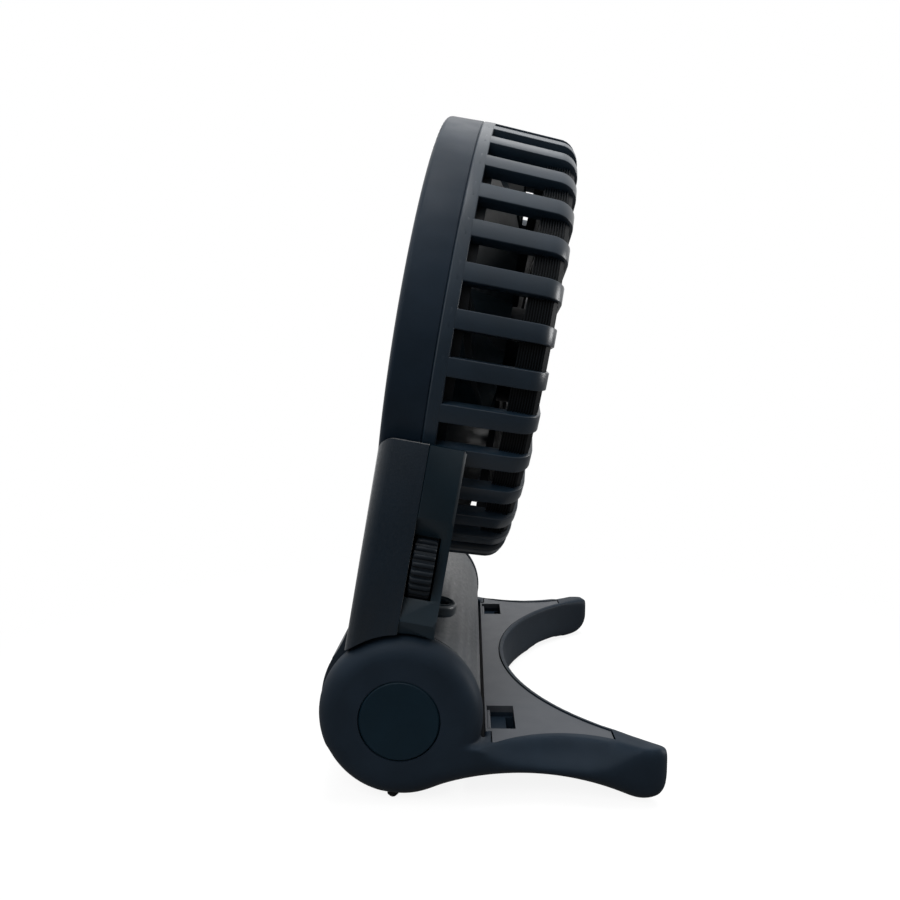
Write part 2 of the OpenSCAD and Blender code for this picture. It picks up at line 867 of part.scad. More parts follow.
module board_face() {
    board_w = handle_half - shell_wall - board_gap + wheel_y + board_in;
    difference() {
        translate([-wheel_y - board_in, wheel_z - board_low]) square([board_w, board_h]);
        translate([0, head_z]) circle(inner_scoop_r + board_gap, $fn = 180);
    }
}

module control_board() {
    color(board_green) on_handle() mirror([0, 1, 0]) translate([control_board_n, 0, 0])
        rotate([90, 0, 90]) linear_extrude(board_t) board_face();
}

module charge_board() {
    color(board_green) on_handle() translate([charge_board_n, 0, 0])
        rotate([90, 0, 90]) linear_extrude(board_t) board_face();
}

// Rotary control under the speed wheel, with the post that the wheel turns on
module speed_control() {
    color([0.2, 0.2, 0.22]) on_handle() {
        translate([control_n - control_t, wheel_y - control_size / 2, wheel_z - control_size / 2])
            cube([control_t, control_size, control_size]);
        post([wheel_y, wheel_z], wheel_post_r, control_n - slip, wheel_n + wheel_t - 0.3);
    }
}

module board_parts() {
    chip_t = 1;
    chip_w = 3.6;
    chip_at = [wheel_y + board_in / 2, wheel_z - board_low + 1.4];
    charge_chip_w = 4;
    charge_chip_at = [-wheel_y - board_in + 1.4, wheel_z - board_low + 0.6];
    coil_r = 2.4;
    coil_h = 2.6;
    coil_at = [-wheel_y - board_in + coil_r + 3.2, wheel_z + 2.2];
    color([0.08, 0.08, 0.09]) on_handle() {
        translate([control_board_n + board_t, chip_at[0], chip_at[1]]) cube([chip_t, chip_w, chip_w]);
        translate([usb_n, charge_chip_at[0], charge_chip_at[1]])
            cube([chip_t, charge_chip_w, charge_chip_w]);
        post(coil_at, coil_r, charge_board_n - coil_h, charge_board_n);
    }
}

// Charging socket in the far side: a rounded shell with a tongue inside
module usb_socket() {
    wall = 0.35;
    mouth_y = handle_half - 0.4;
    color(steel) on_handle() translate([usb_n + usb_t / 2, mouth_y - usb_len, wheel_z])
        rotate([-90, 0, 0]) {
            difference() {
                linear_extrude(usb_len) stadium(usb_w, usb_t);
                translate([0, 0, wall]) linear_extrude(usb_len) stadium(usb_w - 2 * wall, usb_t - 2 * wall);
            }
            translate([-0.35, -usb_w / 2 + 1.6, wall - slip]) cube([0.7, usb_w - 3.2, usb_len - 1.4]);
        }
}

// A slot outline with round ends, standing along Y
module stadium(length, width) {
    flat = length - width;
    square([width, flat], center = true);
    for (y = [-flat / 2, flat / 2]) translate([0, y]) circle(d = width, $fn = 48);
}

module shell_screws() {
    seat_n = back_n - shell_wall - 0.6;
    tip_n = front_n + shell_wall + 0.6;
    color(steel) on_handle() for (p = screw_places) difference() {
        union() {
            post(p, screw_r, tip_n, seat_n);
            post(p, screw_head_r, seat_n, seat_n + screw_head_t);
        }
        translate([seat_n + screw_head_t - 0.6, p[0], p[1]]) {
            for (turn = [0, 90]) rotate([turn, 0, 0]) translate([0, -1.2, -0.25]) cube([cut, 2.4, 0.5]);
        }
    }
}

// Head

lug_half = 3;

module front_ring() {
    edge = 0.5;
    color(navy) on_head() difference() {
        union() {
            rotate_extrude($fn = 180) difference() {
                polygon([
                    [lip_r, ring_n + edge],
                    [lip_r + edge, ring_n],
                    [head_r, ring_n],
                    [head_r, part_n - 0.2],
                    [head_r - 0.2, part_n],
                    [ring_in_r, part_n],
                    [ring_in_r, grille_n],
                    [lip_r, grille_n]
                ]);
                translate([head_r - ring_edge_r, ring_n - cut]) difference() {
                    square(ring_edge_r + cut);
                    translate([0, ring_edge_r + cut]) circle(ring_edge_r);
                }
            }
            for (side = [-1, 1]) rotate(-side * lug_angle) translate([0, 0, lug_n])
                linear_extrude(lug_t) {
                    translate([ring_in_r + 0.6, -lug_half]) square([lug_r - ring_in_r - 0.6, 2 * lug_half]);
                    translate([lug_r, 0]) circle(lug_half);
                }
        }
        for (side = [-1, 1]) rotate(side * lug_angle) translate([lug_r, 0, lug_n - cut])
            cylinder(r = screw_r + fit_gap, h = lug_t + 2 * cut, $fn = 48);
    }
}

// One curved spoke: part of a circle that starts at the middle of the grille
module spoke() {
    intersection() {
        translate([spoke_bend_r, 0, grille_n]) difference() {
            cylinder(r = spoke_bend_r + spoke_w / 2, h = grille_t);
            translate([0, 0, -cut]) cylinder(r = spoke_bend_r - spoke_w / 2, h = grille_t + 2 * cut);
        }
        translate([0, 0, grille_n - cut]) cube([head_r, head_r, grille_t + 2 * cut]);
    }
}

module front_grille() {
    grille_r = ring_in_r - fit_gap;
    rim_w = 2.4;
    mid_r = (grille_disc_r + grille_r) / 2;
    color(deep_navy) on_head() difference() {
        union() {
            translate([0, 0, grille_n]) cylinder(r = grille_disc_r, h = grille_t);
            for (r = [mid_r, grille_r - rim_w / 2]) {
                w = r == mid_r ? spoke_w : rim_w;
                rotate_extrude($fn = 180) translate([r - w / 2, grille_n]) square([w, grille_t]);
            }
            intersection() {
                for (i = [0 : spoke_count - 1]) rotate(i * 360 / spoke_count) spoke();
                rotate_extrude($fn = 180) translate([grille_disc_r - 0.8, grille_n])
                    square([grille_r - grille_disc_r - 0.4, grille_t]);
            }
        }
        translate([0, 0, grille_n - cut]) cylinder(r = badge_r + fit_gap, h = cut + 0.5);
    }
}

module centre_cap() {
    rise = 0.9;
    color(navy) on_head() translate([0, 0, grille_n + 0.5 - rise]) {
        cylinder(r1 = badge_r - 0.4, r2 = badge_r, h = 0.4);
        translate([0, 0, 0.4]) cylinder(r = badge_r, h = rise - 0.4);
    }
}

// Half section of the housing's cup: radius across, depth up, drawn smaller by inset
module cup_section(inset) {
    r = housing_r - inset;
    top = rear_n - inset;
    corner = max(housing_corner - inset, 0.4);
    polygon([
        [0, part_n - (inset > 0 ? cut : 0)],
        [head_r - inset, part_n - (inset > 0 ? cut : 0)],
        [head_r - inset, slot_n],
        [r, top - corner],
        [0, top - corner]
    ]);
    translate([0, top - corner - slip]) square([r - corner, corner + slip]);
    translate([r - corner, top - corner]) circle(corner);
}

// One slot: it opens the side of the cup and runs on towards the middle of its back
module slot_cut() {
    in_r = back_disc_r;
    out_r = head_r + cut;
    half = slot_angle / 2;
    translate([0, 0, slot_n]) linear_extrude(housing_depth + cut) polygon([
        [in_r * cos(half), in_r * sin(half)],
        [out_r * cos(half), out_r * sin(half)],
        [out_r * cos(half), -out_r * sin(half)],
        [in_r * cos(half), -in_r * sin(half)]
    ]);
}

module rear_housing() {
    last_r = housing_r - housing_wall + 0.5;
    color(navy) on_head() difference() {
        union() {
            difference() {
                rotate_extrude($fn = 180) difference() {
                    intersection() {
                        cup_section(0);
                        translate([0, part_n + 0.2 - cut]) square([head_r + cut, housing_depth + 2 * cut]);
                    }
                    difference() {
                        cup_section(housing_wall);
                        translate([0, rib_n]) square([head_r, housing_depth]);
                    }
                }
                // A slot stands on each side of the top bar
                for (i = [0 : bar_count - 1])
                    rotate(180 + bar_turn + (i + 0.5) * 360 / bar_count) slot_cut();
            }
            // Rim with the spigot that clamps the grille in the ring
            rotate_extrude($fn = 180) translate([spigot_r - spigot_wall, grille_n + grille_t])
                square([spigot_wall, slot_n - grille_n - grille_t]);
            rotate_extrude($fn = 180) translate([spigot_r - spigot_wall, part_n])
                square([head_r - spigot_r, housing_rim]);
            translate([0, 0, disc_n]) cylinder(r = back_disc_r + 0.5, h = back_disc_t);
            // Guard rings, which keep inside the bars' rounded corner
            rotate_extrude($fn = 180) intersection() {
                cup_section(guard_sink);
                for (r = [last_r : -guard_pitch : back_disc_r + guard_pitch / 2])
                    translate([r - guard_w / 2, guard_n]) square([guard_w, guard_t]);
            }
            // Collar round the foot of the motor
            translate([0, 0, disc_n - 2.4]) cylinder(r = motor_r + 1.6, h = 2.4 + slip);
            // Duct that hides the motor's leads, on the bottom rib
            translate([0, -duct_half, rib_n - duct_t])
                cube([housing_r - housing_wall + 0.5, 2 * duct_half, duct_t + 1]);
        }
        translate([0, 0, disc_n - 2.4 - cut]) cylinder(r = motor_r + slip, h = 2.4 + cut);
        translate([0, 0, rear_n - cap_seat_t]) cylinder(r = back_cap_r + fit_gap, h = cap_seat_t + cut);
        for (p = motor_screw_places) translate([p[0], p[1], disc_n - cut]) {
            cylinder(r = motor_screw_r + fit_gap, h = back_disc_t + 2 * cut, $fn = 36);
            translate([0, 0, cut + back_disc_t - cap_seat_t - 1.3]) cylinder(r = 1.7, h = 3, $fn = 36);
        }
        duct_cut();
    }
}

duct_half = 3.2;
duct_t = 1.6;
cap_seat_t = 1.2;
motor_screw_r = 0.8;
motor_screw_places = [for (a = [60, 180, 300]) [7 * cos(a), 7 * sin(a)]];
lead_pair = 0.8;
lead_n = seam_n - lead_r - fit_gap;
lead_run_n = rib_n - 0.7;
lead_run_r = spigot_r - spigot_wall - 0.8;

// Groove along the duct and the hole through the rim, both for the motor's leads
module duct_cut() {
    room = 0.3;
    half = lead_pair + lead_r + room;
    translate([motor_r - cut, -half, lead_run_n - lead_r - cut])
        cube([lead_run_r + lead_r + room - motor_r + cut, 2 * half, cut + 2 * lead_r + room]);
    for (y = [-lead_pair, lead_pair]) translate([lead_run_r - cut, y, lead_n]) rotate([0, 90, 0])
        cylinder(r = lead_r + 0.3, h = head_r, $fn = 24);
}

module back_cap() {
    color(navy) on_head() translate([0, 0, rear_n - cap_seat_t]) {
        cylinder(r = back_cap_r, h = cap_seat_t - 0.4);
        translate([0, 0, cap_seat_t - 0.4]) cylinder(r1 = back_cap_r, r2 = back_cap_r - 0.4, h = 0.4);
    }
}

module motor_can() {
    end_wall = 1.5;
    color(steel) on_head() translate([0, 0, motor_n]) difference() {
        cylinder(r = motor_r, h = motor_len);
        translate([0, 0, end_wall]) cylinder(r = motor_r - motor_wall, h = motor_len - 2 * end_wall);
        translate([0, 0, -cut]) cylinder(r = bush_r + slip, h = motor_len + 2 * cut);
        for (p = motor_screw_places) translate([p[0], p[1], motor_len - end_wall - cut])
            cylinder(r = motor_screw_r + slip, h = end_wall + 2 * cut, $fn = 36);
    }
}

module motor_bushes() {
    bush_len = 1.5;
    color(bronze) on_head() for (n = [motor_n, disc_n - bush_len]) translate([0, 0, n]) difference() {
        cylinder(r = bush_r, h = bush_len, $fn = 48);
        translate([0, 0, -cut]) cylinder(r = shaft_r + slip, h = bush_len + 2 * cut, $fn = 48);
    }
}

module motor_leads() {
    color([0.06, 0.06, 0.07]) on_head() for (y = [-lead_pair, lead_pair]) wire([
        [motor_r + 2.2, y, lead_run_n],
        [lead_run_r - 0.1, y, lead_run_n],
        [lead_run_r - 0.1, y, lead_n],
        [inner_scoop_r + 1, y, lead_n]
    ], lead_r);
}

module motor_screws() {
    head_t = 1.2;
    head_n = rear_n - cap_seat_t - 1.3;
    color(steel) on_head() for (p = motor_screw_places) translate([p[0], p[1], 0]) {
        translate([0, 0, disc_n - 1.4]) cylinder(r = motor_screw_r, h = head_n - disc_n + 1.4, $fn = 36);
        translate([0, 0, head_n]) cylinder(r = 1.5, h = head_t, $fn = 36);
    }
}

// Moving parts

module speed_wheel() {
    rib_h = 0.45;
    tooth = 360 / wheel_ribs;
    color(deep_navy) on_handle() translate([wheel_n, wheel_y, wheel_z]) rotate([0, 90, 0])
        difference() {
            linear_extrude(wheel_t) polygon([
                for (i = [0 : wheel_ribs - 1], k = [0 : 3])
                    let (r = k == 0 || k == 3 ? wheel_r - rib_h : wheel_r, a = (i + [0, 0.2, 0.5, 0.7][k]) * tooth)
                    [r * cos(a), r * sin(a)]
            ]);
            translate([0, 0, -cut]) cylinder(r = wheel_post_r + slip, h = wheel_t + 2 * cut, $fn = 48);
        }
}

// One blade is lofted through sections from its root to its tip.
// Along a section s runs from the leading to the trailing edge, and t runs from root to tip.
blade_span = 7;
blade_chord = 8;
blade_root_r = hub_r - hub_wall / 2;
function blade_round(t) = t < 0.72 ? 1 : sqrt(1 - 0.62 * pow((t - 0.72) / 0.28, 2));
function blade_wrap(t) = (30 + 14 * t) * blade_round(t);
function blade_lean(t) = 16 * t * t;
function blade_rise(t) = blade_depth * (1 - 0.28 * t) * blade_round(t);
function blade_half(s) = blade_t / 2 * (0.35 + 2.6 * s * (1 - s));
function blade_point(t, s, face) =
    let (
        r = blade_root_r + (blade_tip_r - blade_root_r) * t,
        a = blade_lean(t) + (s - 0.5) * blade_wrap(t),
        bow = 1.4 * 4 * s * (1 - s),
        n = blade_mid_n + (s - 0.5) * blade_rise(t) - bow + face * blade_half(s)
    )
    [r * cos(a), r * sin(a), n];

module blade() {
    row = blade_chord + 1;
    sheet = (blade_span + 1) * row;
    points = [
        for (face = [-1, 1], i = [0 : blade_span], j = [0 : blade_chord])
            blade_point(i / blade_span, j / blade_chord, face)
    ];
    lower = [
        for (i = [0 : blade_span - 1], j = [0 : blade_chord - 1])
            let (a = i * row + j)
            each [[a, a + row + 1, a + 1], [a, a + row, a + row + 1]]
    ];
    upper = [for (f = lower) [f[2] + sheet, f[1] + sheet, f[0] + sheet]];
    edge_loop = concat(
        [for (j = [0 : blade_chord]) j],
        [for (i = [1 : blade_span]) i * row + blade_chord],
        [for (j = [blade_chord - 1 : -1 : 0]) blade_span * row + j],
        [for (i = [blade_span - 1 : -1 : 1]) i * row]
    );
    turns = len(edge_loop);
    rim = [
        for (k = [0 : turns - 1])
            let (a = edge_loop[k], b = edge_loop[(k + 1) % turns])
            each [[a, b, a + sheet], [b, b + sheet, a + sheet]]
    ];
    polyhedron(points = points, faces = concat(lower, upper, rim));
}

module impeller() {
    color(deep_navy) on_head() {
        rotate_extrude() difference() {
            union() {
                translate([0, hub_front_n]) square([hub_r - 1.5, 2]);
                translate([0, hub_front_n + 1.5]) square([hub_r, hub_rear_n - hub_front_n - 1.5]);
                translate([hub_r - 1.5, hub_front_n + 1.5]) circle(1.5);
            }
            translate([0, hub_front_n + hub_face_t])
                square([hub_r - hub_wall, hub_rear_n - hub_front_n]);
            translate([-2 * cut, hub_front_n - cut]) square([2 * cut, housing_depth]);
        }
        translate([0, 0, hub_front_n + hub_face_t - slip]) difference() {
            cylinder(r = 3, h = post_len);
            translate([0, 0, 0.4]) cylinder(r = shaft_r + 0.02, h = post_len, $fn = 48);
        }
        for (i = [0 : blade_count - 1]) rotate(i * 360 / blade_count) blade();
    }
}

module motor_shaft() {
    low_n = hub_front_n + hub_face_t + 0.5;
    color(steel) on_head() translate([0, 0, low_n])
        cylinder(r = shaft_r, h = disc_n - 0.3 - low_n, $fn = 48);
}

module motor_rotor() {
    rotor_n = motor_n + 1.5 + rotor_gap;
    color(bronze) on_head() translate([0, 0, rotor_n]) difference() {
        cylinder(r = motor_r - motor_wall - rotor_gap, h = motor_len - 3 - 2 * rotor_gap);
        translate([0, 0, -cut]) cylinder(r = shaft_r + 0.02, h = motor_len, $fn = 48);
    }
}

base_shell();
base_top_plate();
hinge_cap(-1);  // hinge_cap_near
hinge_cap(1);  // hinge_cap_far
hinge_pin(-1);  // hinge_pin_near
hinge_pin(1);  // hinge_pin_far
hinge_clips();
friction_washers();
foot_nubs();
front_shell();
rear_shell();
barrel_plug(-1);  // barrel_plug_near
barrel_plug(1);  // barrel_plug_far
battery_cell();
battery_cradle();
battery_tabs();
battery_leads();
control_board();
charge_board();
speed_control();
board_parts();
usb_socket();
shell_screws();
lanyard_loop();
front_ring();
front_grille();
centre_cap();
rear_housing();
back_cap();
motor_can();
motor_bushes();
motor_leads();
motor_screws();
speed_wheel();
impeller();
motor_shaft();
motor_rotor();
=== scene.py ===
"""Folding hand fan: finishes, softened visible pieces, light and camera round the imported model."""

import json
import math
from math import cos, pi, radians, sin

import bmesh
import bpy
import numpy as np
from mathutils import Matrix, Vector

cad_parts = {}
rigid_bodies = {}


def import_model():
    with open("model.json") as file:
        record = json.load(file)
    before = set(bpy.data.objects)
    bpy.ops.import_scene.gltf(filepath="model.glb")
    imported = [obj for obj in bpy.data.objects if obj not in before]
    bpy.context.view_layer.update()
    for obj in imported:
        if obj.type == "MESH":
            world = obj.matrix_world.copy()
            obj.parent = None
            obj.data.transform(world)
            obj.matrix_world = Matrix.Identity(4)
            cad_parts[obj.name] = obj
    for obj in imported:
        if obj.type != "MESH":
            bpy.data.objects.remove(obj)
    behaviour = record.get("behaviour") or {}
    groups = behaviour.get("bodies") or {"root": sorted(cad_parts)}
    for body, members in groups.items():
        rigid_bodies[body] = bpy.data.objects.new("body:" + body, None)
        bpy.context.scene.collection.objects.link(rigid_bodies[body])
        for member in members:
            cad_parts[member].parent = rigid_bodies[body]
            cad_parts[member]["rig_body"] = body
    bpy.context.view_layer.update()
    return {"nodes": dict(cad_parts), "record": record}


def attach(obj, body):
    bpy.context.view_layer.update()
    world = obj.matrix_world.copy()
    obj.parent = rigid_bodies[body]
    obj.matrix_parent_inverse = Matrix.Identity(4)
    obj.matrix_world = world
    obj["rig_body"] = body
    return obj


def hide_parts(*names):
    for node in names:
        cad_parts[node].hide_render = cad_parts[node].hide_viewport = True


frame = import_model()
nodes = frame["nodes"]

MM = 0.001

# Camera, fitted to the outlines in the photograph
CAMERA_AT = Vector((-3.688, -171.751, 76.264)) * MM
CAMERA_YAW = 0.03129
CAMERA_PITCH = 0.08127
CAMERA_ROLL = -0.00393
SENSOR = 36.0
FOCAL_PIXELS = 695.105
PICTURE_PIXELS = 900
LENS = SENSOR * FOCAL_PIXELS / PICTURE_PIXELS
CLIP_NEAR = 5 * MM
CLIP_FAR = 20.0

# The handle leans by TILT about the pivot; depths n and heights w are counted from the pivot
PIVOT = Vector((-17.15, 0, 16.1)) * MM
TILT = radians(10.2)
HANDLE = Matrix.Translation(PIVOT) @ Matrix.Rotation(TILT, 4, "Y")
HEAD_W = 72.4 * MM
HEAD = HANDLE @ Matrix.Translation((0, 0, HEAD_W)) @ Matrix.Rotation(pi / 2, 4, "Y")


def linear(red, green, blue):
    """A colour written as 0 to 255 in sRGB, as linear values with alpha."""
    parts = []
    for value in (red, green, blue):
        share = value / 255
        parts.append(share / 12.92 if share <= 0.04045 else ((share + 0.055) / 1.055) ** 2.4)
    return (*parts, 1.0)


# Materials. Noise scales are in features per metre.

MOTTLE_SCALE = 90.0
NOISE_ROUGH = 0.55
RAMP_START = 0.35
RAMP_STOP = 0.65
METAL_SCALE = 700.0
METAL_DULL = 0.85
METAL_DEPTH = 0.01 * MM


def scaled(colour, share):
    return tuple(part * share for part in colour[:3]) + (1.0,)


def grey(value):
    return (value, value, value, 1.0)


def new_material(name):
    material = bpy.data.materials.new(name)
    material.use_nodes = True
    tree = material.node_tree
    return material, tree, tree.nodes["Principled BSDF"]


def add_noise(tree, scale, detail):
    """Noise over object coordinates."""
    coords = tree.nodes.new("ShaderNodeTexCoord")
    noise = tree.nodes.new("ShaderNodeTexNoise")
    noise.inputs["Scale"].default_value = scale
    noise.inputs["Detail"].default_value = detail
    noise.inputs["Roughness"].default_value = NOISE_ROUGH
    tree.links.new(coords.outputs["Object"], noise.inputs["Vector"])
    return noise


def add_ramp(tree, source, low, high):
    ramp = tree.nodes.new("ShaderNodeValToRGB")
    ramp.color_ramp.elements[0].position = RAMP_START
    ramp.color_ramp.elements[1].position = RAMP_STOP
    ramp.color_ramp.elements[0].color = low
    ramp.color_ramp.elements[1].color = high
    tree.links.new(source, ramp.inputs["Fac"])
    return ramp


def add_bump(tree, shader, height, depth):
    bump = tree.nodes.new("ShaderNodeBump")
    bump.inputs["Distance"].default_value = depth
    bump.inputs["Strength"].default_value = 1.0
    tree.links.new(height, bump.inputs["Height"])
    tree.links.new(bump.outputs["Normal"], shader.inputs["Normal"])


def plastic(name, colour, rough, grain, depth, specular=0.35, spread=0.12, wear=(260.0, 0.02)):
    """Moulded plastic: faint mottling, a fine raised grain, and patches of more or less polish.

    spread is the mottling's share of the colour, and wear the polish noise's scale and reach.
    """
    material, tree, shader = new_material(name)
    shader.inputs["Specular IOR Level"].default_value = specular
    mottle = add_noise(tree, MOTTLE_SCALE, 3.0)
    base = linear(*colour)
    tint = add_ramp(tree, mottle.outputs["Fac"], scaled(base, 1 - spread), scaled(base, 1 + spread))
    tree.links.new(tint.outputs["Color"], shader.inputs["Base Color"])
    wear_scale, wear_reach = wear
    patches = add_noise(tree, wear_scale, 2.0)
    polish = add_ramp(tree, patches.outputs["Fac"], grey(rough - wear_reach), grey(rough + wear_reach))
    tree.links.new(polish.outputs["Color"], shader.inputs["Roughness"])
    add_bump(tree, shader, add_noise(tree, grain, 2.0).outputs["Fac"], depth)
    return material


def metal(name, colour, rough):
    material, tree, shader = new_material(name)
    shader.inputs["Metallic"].default_value = 1.0
    base = linear(*colour)
    tone = add_noise(tree, METAL_SCALE, 3.0)
    tint = add_ramp(tree, tone.outputs["Fac"], scaled(base, METAL_DULL), base)
    tree.links.new(tint.outputs["Color"], shader.inputs["Base Color"])
    shader.inputs["Roughness"].default_value = rough
    add_bump(tree, shader, tone.outputs["Fac"], METAL_DEPTH)
    return material


NAVY = plastic("navy_matte", (14, 26, 37), 0.42, 5200.0, 0.01 * MM, 0.32)
NAVY_BARS = plastic("navy_bars", (18, 31, 42), 0.32, 5200.0, 0.006 * MM, 0.8)
NAVY_REAR = plastic("navy_rear", (5, 22, 31), 0.36, 5200.0, 0.006 * MM, 0.6)
NAVY_SMOOTH = plastic("navy_satin", (8, 24, 33), 0.42, 7000.0, 0.006 * MM, 0.2)
NAVY_STAND = plastic("navy_stand", (20, 29, 38), 0.5, 5200.0, 0.01 * MM, 0.15)
LEATHERY = plastic(
    "navy_leather_grain", (2, 16, 27), 0.42, 2400.0, 0.03 * MM, 0.34, wear=(1500.0, 0.09)
)
LEATHERY.node_tree.nodes["Principled BSDF"].inputs["Sheen Weight"].default_value = 0.19
INLAY = plastic("inlay_grey", (56, 59, 64), 0.45, 6000.0, 0.01 * MM, 0.3, spread=0.03)
DEEP = plastic("deep_navy", (14, 20, 26), 0.4, 6000.0, 0.01 * MM, 0.3)
BLADE = plastic("blade_grey", (12, 20, 25), 0.36, 6000.0, 0.005 * MM, 0.2)
# Painted shade: near black for the guard rings and the sleeve inside the head, which lie in the bars'
# shade.
GUARD_PAINTED_SHADE = plastic("guard_painted_shade", (4, 9, 14), 0.5, 6000.0, 0.005 * MM, 0.3)
RUBBER = plastic("foot_rubber", (16, 17, 19), 0.7, 4000.0, 0.02 * MM, 0.2)
CELL = plastic("cell_film", (28, 84, 140), 0.3, 900.0, 0.005 * MM)
BOARD = plastic("board_lacquer", (18, 66, 42), 0.35, 3000.0, 0.005 * MM)
LEAD = plastic("lead_cover", (120, 20, 18), 0.4, 2000.0, 0.005 * MM)
DARK_LEAD = plastic("dark_lead_cover", (14, 15, 17), 0.4, 2000.0, 0.005 * MM)
STEEL = metal("plain_steel", (168, 170, 173), 0.32)
# Steel darkened to near black, given to the motor can so that it shows dark through the slots.
DARK_STEEL = metal("dark_steel", (34, 37, 41), 0.5)
BRONZE = metal("sintered_bronze", (160, 122, 76), 0.45)
COPPER = metal("winding_copper", (170, 96, 52), 0.35)

FINISH = {
    NAVY_STAND: ["base_shell"],
    NAVY: ["front_ring", "centre_cap"],
    NAVY_BARS: ["rear_housing", "back_cap"],
    NAVY_REAR: ["rear_shell", "lanyard_loop"],
    LEATHERY: ["front_shell"],
    INLAY: ["base_top_plate"],
    NAVY_SMOOTH: ["hinge_cap_near", "hinge_cap_far"],
    DEEP: [
        "barrel_plug_near",
        "barrel_plug_far",
        "front_grille",
        "speed_wheel",
        "battery_cradle",
        "speed_control",
        "board_parts",
    ],
    RUBBER: ["foot_nubs"],
    CELL: ["battery_cell"],
    BOARD: ["control_board", "charge_board"],
    BLADE: ["impeller"],
    LEAD: ["battery_leads"],
    DARK_LEAD: ["motor_leads"],
    STEEL: [
        "hinge_pin_near",
        "hinge_pin_far",
        "hinge_clips",
        "friction_washers",
        "battery_tabs",
        "usb_socket",
        "shell_screws",
        "motor_screws",
        "motor_shaft",
    ],
    DARK_STEEL: ["motor_can"],
    BRONZE: ["motor_bushes"],
    COPPER: ["motor_rotor"],
}
for material, names in FINISH.items():
    for name in names:
        mesh = nodes[name].data
        mesh.materials.clear()
        mesh.materials.append(material)

# Helpers for pieces

MERGE_REACH = 0.002 * MM
FLAT_ANGLE = radians(0.3)


def finish_mesh(name, build, material, body, slot, *replaced):
    """Makes an object from a bmesh, gives it its finish and body, and stands it in for CAD nodes."""
    bmesh.ops.recalc_face_normals(build, faces=build.faces)
    mesh = bpy.data.meshes.new(name)
    build.to_mesh(mesh)
    build.free()
    mesh.materials.append(material)
    piece = bpy.data.objects.new(name, mesh)
    bpy.context.scene.collection.objects.link(piece)
    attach(piece, body)
    if replaced:
        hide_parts(*replaced)
    return piece


def shade(piece, angle=35.0):
    """Smooth shading, with a crease wherever faces meet at more than the angle."""
    piece.data.shade_smooth()
    piece.data.set_sharp_from_angle(angle=radians(angle))


def add_tube(build, rings, closed_path=False):
    """Skins a list of rings of points, each a closed outline with the same count."""
    loops = [[build.verts.new(point) for point in ring] for ring in rings]
    count = len(loops[0])
    turns = len(loops) if closed_path else len(loops) - 1
    for i in range(turns):
        here, there = loops[i], loops[(i + 1) % len(loops)]
        for j in range(count):
            k = (j + 1) % count
            build.faces.new((here[j], here[k], there[k], there[j]))
    if not closed_path:
        build.faces.new(loops[0])
        build.faces.new(loops[-1])


def add_lathe(build, outline, place, segments=240):
    """Turns a closed outline of (radius, height) pairs about the Z axis of place."""
    rings = []
    for i in range(segments):
        a = 2 * pi * i / segments
        rings.append([place @ Vector((r * cos(a), r * sin(a), h)) for r, h in outline])
    add_tube(build, rings, closed_path=True)


def rounded(outline, radius, steps=4):
    """A closed outline with each corner cut round. radius is one number, or one for each corner."""
    count = len(outline)
    result = []
    for i in range(count):
        size = radius[i] if isinstance(radius, tuple) else radius
        corner = Vector(outline[i])
        if size <= 0:
            result.append(tuple(corner))
            continue
        back = (Vector(outline[i - 1]) - corner).normalized()
        ahead = (Vector(outline[(i + 1) % count]) - corner).normalized()
        half = back.angle(ahead) / 2
        reach = size / math.tan(half)
        middle = corner + (back + ahead).normalized() * size / sin(half)
        start = corner + back * reach - middle
        stop = corner + ahead * reach - middle
        sweep = start.angle(stop)
        for k in range(steps + 1):
            t = k / steps
            spoke = (start * sin((1 - t) * sweep) + stop * sin(t * sweep)) / sin(sweep)
            result.append(tuple(middle + spoke))
    return result


def baked(piece):
    """Keeps what the piece's modifiers make of it as its plain mesh."""
    graph = bpy.context.evaluated_depsgraph_get()
    mesh = bpy.data.meshes.new_from_object(piece.evaluated_get(graph), depsgraph=graph)
    piece.modifiers.clear()
    piece.data = mesh


def cut_away(piece, build):
    """Takes the solid in build out of the piece."""
    mesh = bpy.data.meshes.new("cutter")
    build.to_mesh(mesh)
    build.free()
    cutter = bpy.data.objects.new("cutter", mesh)
    bpy.context.scene.collection.objects.link(cutter)
    step = piece.modifiers.new("cut", "BOOLEAN")
    step.operation = "DIFFERENCE"
    step.solver = "EXACT"
    step.object = cutter
    baked(piece)
    bpy.data.objects.remove(cutter)


def relax(mesh, shares, rounds):
    """Evens a mesh out: in each round every vertex moves towards its neighbours by its share."""
    count = len(mesh.vertices)
    places = np.empty(count * 3)
    mesh.vertices.foreach_get("co", places)
    places = places.reshape(-1, 3)
    ends = np.empty(len(mesh.edges) * 2, dtype=np.int32)
    mesh.edges.foreach_get("vertices", ends)
    ends = ends.reshape(-1, 2)
    here = np.concatenate((ends[:, 0], ends[:, 1]))
    there = np.concatenate((ends[:, 1], ends[:, 0]))
    links = np.bincount(here, minlength=count)[:, None]
    for _ in range(rounds):
        sums = [np.bincount(here, weights=places[there, axis], minlength=count) for axis in range(3)]
        places += shares[:, None] * (np.stack(sums, axis=1) / links - places)
    mesh.vertices.foreach_set("co", places.ravel())
    mesh.update()


def add_bevel(piece, width, angle, segments):
    piece.data.shade_smooth()
    edge = piece.modifiers.new("edges", "BEVEL")
    edge.limit_method = "ANGLE"
    edge.angle_limit = radians(angle)
    edge.width = width
    edge.segments = segments
    edge.use_clamp_overlap = True
    edge.harden_normals = True


